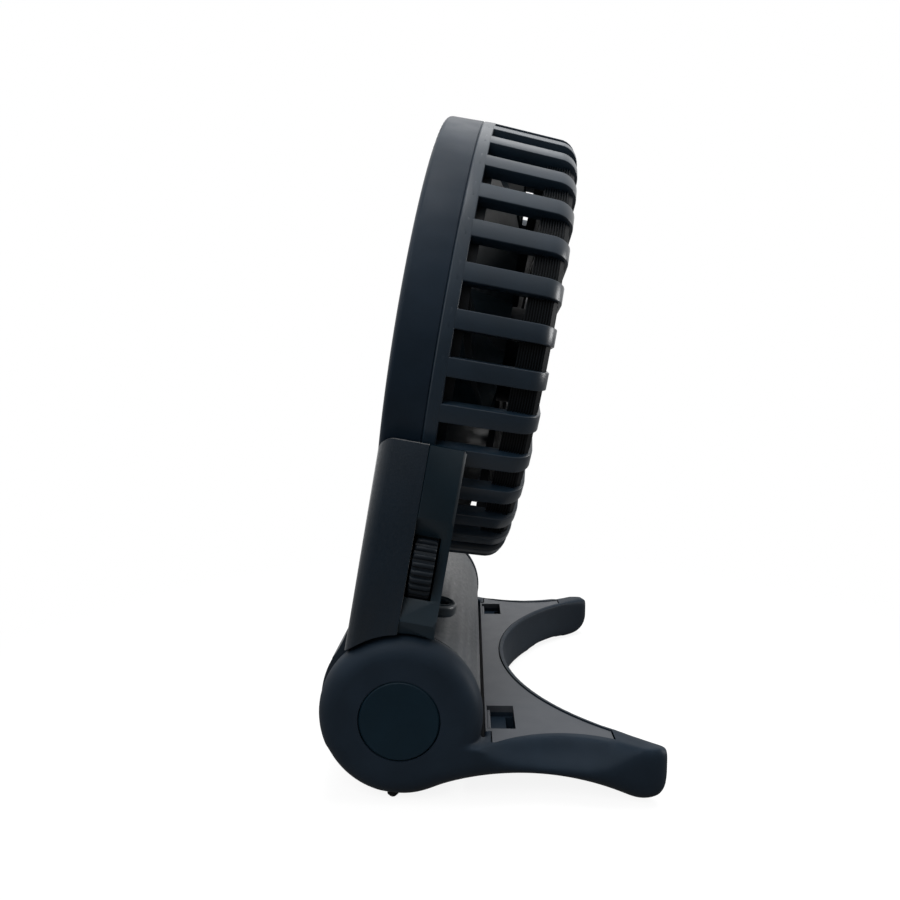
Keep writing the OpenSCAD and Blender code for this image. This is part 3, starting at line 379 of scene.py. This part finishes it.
def softened(name, material, width, angle=35.0, segments=2):
    """Stands in for a CAD node with a copy whose sharp edges are slightly rounded."""
    build = bmesh.new()
    build.from_mesh(nodes[name].data)
    bmesh.ops.remove_doubles(build, verts=build.verts, dist=MERGE_REACH)
    bmesh.ops.dissolve_limit(build, angle_limit=FLAT_ANGLE, verts=build.verts, edges=build.edges)
    slots = {row["node"]: row["material_slot"] for row in frame["record"]["subparts"]}
    piece = finish_mesh(name + "_soft", build, material, nodes[name]["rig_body"], slots[name], name)
    add_bevel(piece, width, angle, segments)
    return piece


# The head's rear housing and guard

EDGE = 0.3 * MM
HEAD_R = 50.0 * MM
PART_N = -4.9 * MM
SLOT_N = -2.3 * MM
REAR_N = 15.8 * MM
HOUSING_R = 49.0 * MM
WALL = 2.6 * MM
RIB_T = 2.4 * MM
CORNER_R = 4.2 * MM
BAR_COUNT = 37
BAR_W = 3.5 * MM
BAR_TURN = radians(0.75)
BAR_FRONT = SLOT_N - 1.2 * MM
BAR_EDGE = 0.165 * MM
BAR_STEPS = 8
BAR_INNER_STEPS = 6
BAR_INTO_DISC = 0.6 * MM
LIP_IN = 0.22 * MM
LIP_T = 0.3 * MM
DISC_R = 19.0 * MM
DISC_OUT = DISC_R + 0.5 * MM
DISC_T = 3.6 * MM
DISC_CORNERS = (0, 0.4 * MM, 0.5 * MM, 0.2 * MM, 0, 0)
SEAT_R = 14.1 * MM
SEAT_T = 1.2 * MM
AXIS_R = 0.01 * MM
GUARD_PITCH = 3.0 * MM
GUARD_W = 1.1 * MM
GUARD_T = 3.7 * MM
GUARD_SINK = 0.5 * MM
GUARD_R = HOUSING_R - WALL + 0.5 * MM
FIN_LOW = 9.4 * MM
FIN_COUNT = 10
FIN_DEPTH = 0.5 * MM
FIN_SHARE = 0.4
SLEEVE_IN = 46.3 * MM
SLEEVE_OUT = 47.4 * MM
SLEEVE_FRONT = -9.6 * MM
SLEEVE_REAR = SLOT_N + 1.6 * MM


def bar_path():
    """Stations along one bar: radius, depth, outward normal in that plane, and thickness."""
    path = []
    corner_r = HOUSING_R - CORNER_R
    corner_n = REAR_N - CORNER_R
    for k in range(BAR_STEPS + 1):
        t = k / BAR_STEPS
        n = BAR_FRONT + t * (corner_n - BAR_FRONT)
        path.append((HEAD_R + (HOUSING_R - HEAD_R) * t, n, 1.0, 0.0, WALL))
    for k in range(1, BAR_STEPS + 1):
        t = k / BAR_STEPS
        a = pi / 2 * t
        depth = WALL + (RIB_T - WALL) * t
        path.append((corner_r + CORNER_R * cos(a), corner_n + CORNER_R * sin(a), cos(a), sin(a), depth))
    for k in range(1, BAR_INNER_STEPS + 1):
        r = corner_r + (DISC_R - BAR_INTO_DISC - corner_r) * k / BAR_INNER_STEPS
        path.append((r, REAR_N, 0.0, 1.0, RIB_T))
    return path


def guard_top(r):
    """How high a guard ring may reach at a radius, kept inside the bars' rounded corner."""
    over = max(r - (HOUSING_R - CORNER_R), 0.0)
    return REAR_N - CORNER_R + math.sqrt((CORNER_R - GUARD_SINK) ** 2 - over**2)


def finned_ring(r):
    """Outline of the outermost guard ring, with fine fins round its outside."""
    inner = r - GUARD_W / 2
    outer = r + GUARD_W / 2
    pitch = (guard_top(outer) - FIN_LOW) / FIN_COUNT
    outline = [(inner, FIN_LOW)]
    for k in range(FIN_COUNT):
        n = FIN_LOW + k * pitch
        outline.append((outer, n))
        outline.append((outer, n + pitch * FIN_SHARE))
        outline.append((outer - FIN_DEPTH, n + pitch * FIN_SHARE))
        outline.append((outer - FIN_DEPTH, n + pitch))
    outline.append((inner, guard_top(inner)))
    return outline


def make_rear_housing():
    build = bmesh.new()
    pitch = 2 * pi / BAR_COUNT
    bar_angle = 2 * math.asin(BAR_W / 2 / HEAD_R)
    path = bar_path()
    for i in range(BAR_COUNT):
        a = pi + i * pitch + BAR_TURN
        rings = []
        for r, n, out_r, out_n, depth in path:
            half = r * math.tan(bar_angle / 2)
            section = [(-half, 0), (half, 0), (half, -depth), (-half, -depth)]
            ring = []
            for side, up in rounded(section, BAR_EDGE, 3):
                reach = r + up * out_r
                x = reach * cos(a) - side * sin(a)
                y = reach * sin(a) + side * cos(a)
                ring.append(HEAD @ Vector((x, y, n + up * out_n)))
            rings.append(ring)
        add_tube(build, rings)
    rim = [
        (HEAD_R - WALL, PART_N),
        (HEAD_R - LIP_IN, PART_N),
        (HEAD_R, PART_N + LIP_T),
        (HEAD_R, SLOT_N),
        (HEAD_R - WALL, SLOT_N),
    ]
    add_lathe(build, rounded(rim, (0, 0, 0, EDGE, EDGE)), HEAD)
    disc = [
        (AXIS_R, REAR_N - DISC_T),
        (DISC_OUT, REAR_N - DISC_T),
        (DISC_OUT, REAR_N),
        (SEAT_R, REAR_N),
        (SEAT_R, REAR_N - SEAT_T),
        (AXIS_R, REAR_N - SEAT_T),
    ]
    add_lathe(build, rounded(disc, DISC_CORNERS), HEAD)
    piece = finish_mesh("rear_housing_soft", build, NAVY_BARS, "handle", "navy_plastic", "rear_housing")
    shade(piece)


def make_rear_guard():
    """The rings of the rear guard, and the sleeve behind the slots' front ends, coloured near black as
    painted shade.
    """
    build = bmesh.new()
    sleeve = [
        (SLEEVE_IN, SLEEVE_FRONT),
        (SLEEVE_OUT, SLEEVE_FRONT),
        (SLEEVE_OUT, SLEEVE_REAR),
        (SLEEVE_IN, SLEEVE_REAR),
    ]
    add_lathe(build, sleeve, HEAD)
    add_lathe(build, finned_ring(GUARD_R), HEAD)
    low = REAR_N - GUARD_SINK - GUARD_T
    r = GUARD_R - GUARD_PITCH
    while r > DISC_R + GUARD_PITCH / 2:
        inner = r - GUARD_W / 2
        outer = r + GUARD_W / 2
        guard = [(inner, low), (outer, low), (outer, guard_top(outer)), (inner, guard_top(inner))]
        add_lathe(build, rounded(guard, EDGE, 2), HEAD)
        r -= GUARD_PITCH
    shade(finish_mesh("rear_guard_soft", build, GUARD_PAINTED_SHADE, "handle", "navy_plastic"))


# The speed wheel

WHEEL_R = 7.2 * MM
WHEEL_T = 4.1 * MM
WHEEL_N = -2.7 * MM
WHEEL_Y = -41.357 * MM
WHEEL_W = 28.45 * MM
RIB_COUNT = 28
RIB_H = 0.6 * MM
RIB_SHARE = 0.68
RIB_END = 0.45 * MM
RIB_STEPS = 8
RIB_FULLNESS = 0.4
# Places along the wheel's axis, and the share of the ribs' height there
WHEEL_STATIONS = (
    (0, 0.2),
    (RIB_END / 2, 0.8),
    (RIB_END, 1.0),
    (WHEEL_T - RIB_END, 1.0),
    (WHEEL_T, 0.4),
)


def make_speed_wheel():
    build = bmesh.new()
    outline = []
    pitch = 2 * pi / RIB_COUNT
    for i in range(RIB_COUNT):
        for k in range(RIB_STEPS + 1):
            t = k / RIB_STEPS
            rise = sin(pi * t) ** RIB_FULLNESS if 0 < k < RIB_STEPS else 0.0
            outline.append((i * pitch + RIB_SHARE * pitch * t, rise))
    rings = []
    for n, share in WHEEL_STATIONS:
        ring = []
        for a, rise in outline:
            r = WHEEL_R - RIB_H * (1 - rise * share)
            ring.append(HANDLE @ Vector((WHEEL_N + n, WHEEL_Y + r * cos(a), WHEEL_W + r * sin(a))))
        rings.append(ring)
    add_tube(build, rings)
    piece = finish_mesh("speed_wheel_soft", build, DEEP, "wheel", "dark_plastic", "speed_wheel")
    shade(piece, 50.0)


# The lanyard loop

LOOP_N = 3.65 * MM
LOOP_Y = -35.458 * MM
LOOP_W = 18.6 * MM
LOOP_R = 3.8 * MM
LOOP_OUT = 3.5 * MM
LOOP_H = 2.6 * MM
LOOP_BOW = 1.7 * MM
LOOP_ROUND = 0.8 * MM
LOOP_ROOT = 0.5 * MM
LOOP_STEPS = 24


def make_lanyard_loop():
    """Half a ring that stands out from the rear shell, with its ends run into the shell."""
    build = bmesh.new()
    half = LOOP_H / 2
    section = rounded([(0, -half), (LOOP_BOW, -half), (LOOP_BOW, half), (0, half)], LOOP_ROUND, 5)
    middle = LOOP_N + LOOP_OUT - LOOP_R
    rings = []
    for k in range(-1, LOOP_STEPS + 2):
        turned = min(max(k, 0), LOOP_STEPS)
        a = -pi / 2 + pi * turned / LOOP_STEPS
        n = middle if k == turned else middle - LOOP_ROOT
        ring = []
        for inward, up in section:
            r = LOOP_R - inward
            ring.append(HANDLE @ Vector((n + r * cos(a), LOOP_Y + r * sin(a), LOOP_W + up)))
        rings.append(ring)
    add_tube(build, rings)
    piece = finish_mesh("lanyard_loop_soft", build, NAVY_REAR, "handle", "navy_plastic", "lanyard_loop")
    shade(piece, 60.0)


# The stand's shell and its top plate, with places counted from the pivot

STAND_HALF = 48.858 * MM
CAP_SEAT = STAND_HALF - 2.0 * MM
CAP_R = 7.56 * MM
GAP = 0.12 * MM
GROOVE = 0.28 * MM
PLATE_Z = -5.0 * MM
PLATE_T = 1.6 * MM
PLATE_X = 16.1 * MM
PLATE_STEP = 1.2 * MM
PLATE_STEP_Y = 41.558 * MM
PLATE_HALF = 45.858 * MM
PLATE_LEN = 24.2 * MM
FORK_R = 50.9 * MM
FORK_RIM = 1.3 * MM
SIDE_STEPS = 48
FORK_STEPS = 40
# Waists: middle along, middle across and radius of the round bite in each side
SHELL_WAIST = (29.4 * MM, 67.458 * MM, 23.07 * MM)
PLATE_WAIST = (30.6 * MM, 65.6 * MM, 23.5 * MM)
SHELL_GROW = 0.3 * MM
SEAT_FILL = 0.4 * MM
CUT_PAST = 1.0 * MM
TRAY_Z = -7.5 * MM
LATCH_Z = -10.0 * MM
LATCH_X = 3.9 * MM
WINDOW_X = 16.5 * MM
WINDOW_Y = 35.458 * MM
WINDOW_L = 5.5 * MM
WINDOW_W = 10.0 * MM
HOOK_L = 0.7 * MM
HOOK_W = 8.0 * MM
HOOK_TOP = -5.6 * MM
HOOK_EDGE = 0.2 * MM
HOLE_NEAR = 0.3 * MM
HOLE_FAR = 0.6 * MM
HOLE_SOLE = 0.2 * MM
PLATE_SUNK = 0.2 * MM
PLATE_EDGE = 0.15 * MM
CREASE = 30.0

# The shell is remeshed and evened out, by these shares in these zones

VOXEL = 0.33 * MM
ROUNDS = 70
FREE_SHARE = 0.5
KEPT_SHARE = 0.05
CHEEK_SHARE = 0.06
CHEEK_R = 14.0 * MM
CHEEK_T = 5.5 * MM
RIM_SHARE = 0.03
RIM_RISE = 0.4
RIM_W = 2.5 * MM
TIP_REACH = 8.0 * MM
WAIST_BAND = 0.9 * MM
WAIST_T = 1.0 * MM
INSIDE_R = 17.2 * MM
INSIDE_T = 4.3 * MM


def plate_outline(grow, waist):
    """Plan of the top plate from the pivot, grown outwards, with a round bite in each side."""
    waist_x, waist_y, waist_r = waist
    step = PLATE_X + PLATE_STEP - grow
    right = PLATE_X + PLATE_LEN + grow
    fork_r = FORK_R + FORK_RIM - grow
    edge = [(PLATE_X - grow, PLATE_STEP_Y + grow), (step, PLATE_STEP_Y + grow)]
    for k in range(SIDE_STEPS + 1):
        x = step + (right - step) * k / SIDE_STEPS
        bite = waist_r**2 - (x - waist_x) ** 2
        y = PLATE_HALF + grow
        if bite > 0:
            y = min(y, waist_y - math.sqrt(bite))
        edge.append((x, y))
    start = math.acos((HEAD_W - right) / fork_r)
    for k in range(FORK_STEPS + 1):
        a = start * (1 - k / FORK_STEPS)
        edge.append((HEAD_W - fork_r * cos(a), fork_r * sin(a)))
    return edge + [(x, -y) for x, y in reversed(edge[:-1])]


def add_prism(build, outline, low, high):
    """An upright prism over a plan outline, placed from the pivot."""
    ends = []
    for z in (low, high):
        ends.append([build.verts.new(PIVOT + Vector((x, y, z))) for x, y in outline])
    count = len(outline)
    for i in range(count):
        k = (i + 1) % count
        build.faces.new((ends[0][i], ends[0][k], ends[1][k], ends[1][i]))
    build.faces.new(ends[0])
    build.faces.new(ends[1])


def add_box(build, x, y, z):
    """A box between pairs of places, placed from the pivot."""
    add_prism(build, [(x[0], y[0]), (x[1], y[0]), (x[1], y[1]), (x[0], y[1])], z[0], z[1])


def add_side_discs(build, r, inner, outer):
    """A disc about the pivot axis in each cheek."""
    turn = Matrix.Rotation(pi / 2, 4, "X")
    for side in (-1, 1):
        place = Matrix.Translation(PIVOT + Vector((0, side * (inner + outer) / 2, 0)))
        bmesh.ops.create_cone(
            build,
            cap_ends=True,
            segments=128,
            radius1=r,
            radius2=r,
            depth=outer - inner,
            matrix=place @ turn,
        )


def window_spans(side):
    """The two spans of a window in the top plate."""
    middle = side * WINDOW_Y
    return (WINDOW_X, WINDOW_X + WINDOW_L), (middle - WINDOW_W / 2, middle + WINDOW_W / 2)


def soft_shares(mesh):
    """How far each vertex of the stand's shell may be evened out."""
    count = len(mesh.vertices)
    places = np.empty(count * 3)
    mesh.vertices.foreach_get("co", places)
    x, y, z = (places.reshape(-1, 3) - np.array(PIVOT)).T
    drum = np.hypot(x, z)
    side = np.abs(y)
    fork = np.hypot(x - HEAD_W, y) - FORK_R
    shares = np.full(count, FREE_SHARE)
    shares[(drum > CHEEK_R) & (side > STAND_HALF - CHEEK_T) & (z > PLATE_Z)] = CHEEK_SHARE
    beyond = np.clip((x - PLATE_X - PLATE_LEN) / TIP_REACH, 0.0, 1.0)
    rim = (fork < RIM_W) & (z > PLATE_Z - RIM_W)
    shares[rim] = RIM_SHARE + RIM_RISE * beyond[rim] ** 2
    waist_x, waist_y, waist_r = PLATE_WAIST
    waist = np.hypot(x - waist_x, side - waist_y) - waist_r
    shares[(waist > -WAIST_BAND) & (z > PLATE_Z - WAIST_T) & (beyond <= 0)] = KEPT_SHARE
    shares[(side < STAND_HALF - INSIDE_T) & (drum < INSIDE_R)] = KEPT_SHARE
    return shares


def make_base_shell():
    """The stand's shell, evened out, then cut for the plate, the caps, and the windows' wells."""
    build = bmesh.new()
    build.from_mesh(nodes["base_shell"].data)
    add_prism(build, plate_outline(SHELL_GROW, SHELL_WAIST), LATCH_Z, PLATE_Z)
    add_side_discs(build, CAP_R + SEAT_FILL, CAP_SEAT - SEAT_FILL, STAND_HALF)
    piece = finish_mesh("base_shell_soft", build, NAVY_STAND, "stand", "navy_plastic", "base_shell")
    step = piece.modifiers.new("voxels", "REMESH")
    step.mode = "VOXEL"
    step.voxel_size = VOXEL
    baked(piece)
    relax(piece.data, soft_shares(piece.data), ROUNDS)
    pocket = bmesh.new()
    waist_x, waist_y, waist_r = PLATE_WAIST
    outline = plate_outline(GROOVE, (waist_x, waist_y, waist_r - GROOVE))
    add_prism(pocket, outline, PLATE_Z - PLATE_T, PLATE_Z + PLATE_T)
    add_side_discs(pocket, CAP_R + GAP, CAP_SEAT, STAND_HALF + CUT_PAST)
    wells = bmesh.new()
    holes = bmesh.new()
    for side in (-1, 1):
        along, across = window_spans(side)
        add_box(wells, along, across, (TRAY_Z, PLATE_Z))
        inner = (across[0] + HOLE_NEAR, across[1] - HOLE_FAR)
        add_box(holes, (along[0] + LATCH_X, along[1]), inner, (LATCH_Z + HOLE_SOLE, PLATE_Z))
    for cuts in (pocket, wells, holes):
        bmesh.ops.recalc_face_normals(cuts, faces=cuts.faces)
        cut_away(piece, cuts)
    shade(piece, 40.0)


def make_catches():
    """The catch that stands in each window, on the side of the cheeks."""
    build = bmesh.new()
    for side in (-1, 1):
        middle = side * WINDOW_Y
        across = (middle - HOOK_W / 2, middle + HOOK_W / 2)
        add_box(build, (WINDOW_X, WINDOW_X + HOOK_L), across, (TRAY_Z, HOOK_TOP))
    piece = finish_mesh("window_catches", build, INLAY, "stand", "grey_plastic")
    add_bevel(piece, HOOK_EDGE, CREASE, 2)


def make_top_plate():
    build = bmesh.new()
    add_prism(build, plate_outline(0.0, PLATE_WAIST), PLATE_Z - PLATE_T, PLATE_Z - PLATE_SUNK)
    piece = finish_mesh("top_plate_soft", build, INLAY, "stand", "grey_plastic", "base_top_plate")
    cuts = bmesh.new()
    for side in (-1, 1):
        add_box(cuts, *window_spans(side), (PLATE_Z - 2 * PLATE_T, PLATE_Z + PLATE_T))
    bmesh.ops.recalc_face_normals(cuts, faces=cuts.faces)
    cut_away(piece, cuts)
    add_bevel(piece, PLATE_EDGE, CREASE, 2)


# Camera


def place_camera():
    yaw, pitch = CAMERA_YAW, CAMERA_PITCH
    ahead = Vector((-sin(yaw) * cos(pitch), cos(yaw) * cos(pitch), -sin(pitch)))
    right = Vector((cos(yaw), sin(yaw), 0))
    up = right.cross(ahead)
    turn = Matrix((right, up, -ahead)).transposed().to_4x4()
    data = bpy.data.cameras.new("camera")
    data.lens = LENS
    data.sensor_width = SENSOR
    data.clip_start = CLIP_NEAR
    data.clip_end = CLIP_FAR
    camera = bpy.data.objects.new("camera", data)
    camera.matrix_world = Matrix.Translation(CAMERA_AT) @ turn @ Matrix.Rotation(CAMERA_ROLL, 4, "Z")
    bpy.context.scene.collection.objects.link(camera)
    bpy.context.scene.camera = camera


# Light, backdrop and floor

DARK_SIDE = 0.06
BRIGHT_SIDE = (-0.3, 0.8, 0.8)
AMBIENT = 0.5
WORLD_REACH = 1.0
WORLD_BRIGHT = 1.0
FLOOR_REACH = 0.15
FLOOR_BRIGHT = 0.4
FLOOR_BOUNCE = 0.15
FLOOR_TONE = 0.92
FLOOR_R = 6.0
FLOOR_DROP = 0.1 * MM
FADE_START = 30 * MM
FADE_STOP = 160 * MM
FADE_LOW = 0.88
LIGHT_AIM = Vector((0, 0, 70)) * MM


def add_math(tree, operation, first, second):
    step = tree.nodes.new("ShaderNodeMath")
    step.operation = operation
    tree.links.new(first, step.inputs[0])
    tree.links.new(second, step.inputs[1])
    return step.outputs[0]


def add_fade(tree, source, start, stop, low, high):
    """Goes smoothly from low to high while the source goes from start to stop."""
    fade = tree.nodes.new("ShaderNodeMapRange")
    fade.interpolation_type = "SMOOTHSTEP"
    fade.inputs["From Min"].default_value = start
    fade.inputs["From Max"].default_value = stop
    fade.inputs["To Min"].default_value = low
    fade.inputs["To Max"].default_value = high
    tree.links.new(source, fade.inputs["Value"])
    return fade.outputs["Result"]


def backdrop_share(tree):
    """1 for camera, glossy and transmission rays, 0 for the rays that light the object."""
    path = tree.nodes.new("ShaderNodeLightPath")
    seen = add_math(tree, "MAXIMUM", path.outputs["Is Camera Ray"], path.outputs["Is Glossy Ray"])
    return add_math(tree, "MAXIMUM", seen, path.outputs["Is Transmission Ray"])


def studio_share(tree, place, reach, brightest):
    """1 where the camera looks, and dim for glossy rays towards the dark side of the studio."""
    path = tree.nodes.new("ShaderNodeLightPath")
    towards = tree.nodes.new("ShaderNodeVectorMath")
    towards.operation = "DOT_PRODUCT"
    tree.links.new(place, towards.inputs[0])
    towards.inputs[1].default_value = BRIGHT_SIDE
    side = add_fade(tree, towards.outputs["Value"], -reach, reach, DARK_SIDE, brightest)
    pick = tree.nodes.new("ShaderNodeMix")
    tree.links.new(path.outputs["Is Glossy Ray"], pick.inputs["Factor"])
    pick.inputs["A"].default_value = 1.0
    tree.links.new(side, pick.inputs["B"])
    return pick.outputs["Result"]


def light_world():
    world = bpy.data.worlds.new("studio")
    world.use_nodes = True
    tree = world.node_tree
    lit = tree.nodes["Background"]
    lit.inputs["Color"].default_value = (1, 1, 1, 1)
    lit.inputs["Strength"].default_value = AMBIENT
    seen = tree.nodes.new("ShaderNodeBackground")
    seen.inputs["Color"].default_value = (1, 1, 1, 1)
    coords = tree.nodes.new("ShaderNodeTexCoord")
    share = studio_share(tree, coords.outputs["Generated"], WORLD_REACH, WORLD_BRIGHT)
    tree.links.new(share, seen.inputs["Strength"])
    mix = tree.nodes.new("ShaderNodeMixShader")
    tree.links.new(backdrop_share(tree), mix.inputs["Fac"])
    tree.links.new(lit.outputs[0], mix.inputs[1])
    tree.links.new(seen.outputs[0], mix.inputs[2])
    tree.links.new(mix.outputs[0], tree.nodes["World Output"].inputs["Surface"])
    bpy.context.scene.world = world


def add_softbox(name, at, size, watts, mirrored):
    """A square lamp aimed at the object. Only a mirrored one shows in reflections."""
    data = bpy.data.lights.new(name, "AREA")
    data.shape = "SQUARE"
    data.size = size
    data.energy = watts
    lamp = bpy.data.objects.new(name, data)
    lamp.location = at
    lamp.rotation_mode = "QUATERNION"
    lamp.rotation_quaternion = (LIGHT_AIM - Vector(at)).to_track_quat("-Z", "Y")
    lamp.visible_glossy = mirrored
    bpy.context.scene.collection.objects.link(lamp)


def make_floor():
    """A pale disc that fades to plain white away from the object, and keeps its shadow."""
    mesh = bpy.data.meshes.new("floor")
    build = bmesh.new()
    bmesh.ops.create_circle(build, cap_ends=True, radius=FLOOR_R, segments=64)
    build.to_mesh(mesh)
    build.free()
    floor = bpy.data.objects.new("floor", mesh)
    floor.location = (0, 0, -FLOOR_DROP)
    bpy.context.scene.collection.objects.link(floor)
    material, tree, shader = new_material("floor_white")
    shader.inputs["Roughness"].default_value = 0.9
    shader.inputs["Specular IOR Level"].default_value = 0.0
    path = tree.nodes.new("ShaderNodeLightPath")
    tone = tree.nodes.new("ShaderNodeMix")
    tree.links.new(path.outputs["Is Camera Ray"], tone.inputs["Factor"])
    tone.inputs["A"].default_value = FLOOR_BOUNCE
    tone.inputs["B"].default_value = FLOOR_TONE
    tree.links.new(tone.outputs["Result"], shader.inputs["Base Color"])
    white = tree.nodes.new("ShaderNodeEmission")
    coords = tree.nodes.new("ShaderNodeTexCoord")
    glow = studio_share(tree, coords.outputs["Object"], FLOOR_REACH, FLOOR_BRIGHT)
    tree.links.new(glow, white.inputs["Strength"])
    reach = tree.nodes.new("ShaderNodeVectorMath")
    reach.operation = "LENGTH"
    tree.links.new(coords.outputs["Object"], reach.inputs[0])
    fade = add_fade(tree, reach.outputs["Value"], FADE_START, FADE_STOP, FADE_LOW, 1.0)
    mix = tree.nodes.new("ShaderNodeMixShader")
    tree.links.new(add_math(tree, "MULTIPLY", backdrop_share(tree), fade), mix.inputs["Fac"])
    tree.links.new(shader.outputs[0], mix.inputs[1])
    tree.links.new(white.outputs[0], mix.inputs[2])
    tree.links.new(mix.outputs[0], tree.nodes["Material Output"].inputs["Surface"])
    mesh.materials.append(material)


# The scene

BLADE_EDGE = 0.08 * MM
BLADE_CREASE = 40.0
SOFT_EDGES = {
    "front_shell": 0.12 * MM,
    "rear_shell": 0.45 * MM,
    "front_ring": 0.08 * MM,
}

place_camera()
make_rear_housing()
make_rear_guard()
make_speed_wheel()
make_lanyard_loop()
make_base_shell()
make_catches()
make_top_plate()
shade(softened("impeller", BLADE, BLADE_EDGE, BLADE_CREASE, 1), BLADE_CREASE)
for name, width in SOFT_EDGES.items():
    softened(name, nodes[name].data.materials[0], width)

light_world()
make_floor()
add_softbox("top_light", (0.1, 0.1, 0.8), 0.5, 9.0, False)
add_softbox("front_light", (-0.3, -0.6, 0.7), 0.5, 6.0, False)
add_softbox("edge_light", (0.08, 0.4, 0.75), 0.3, 0.25, True)
add_softbox("rim_light", (0.0, -0.25, 0.8), 0.12, 0.4, True)
add_softbox("side_light", (0.7, 0.05, 0.12), 0.25, 1.6, True)

bpy.context.scene.view_settings.view_transform = "Standard"
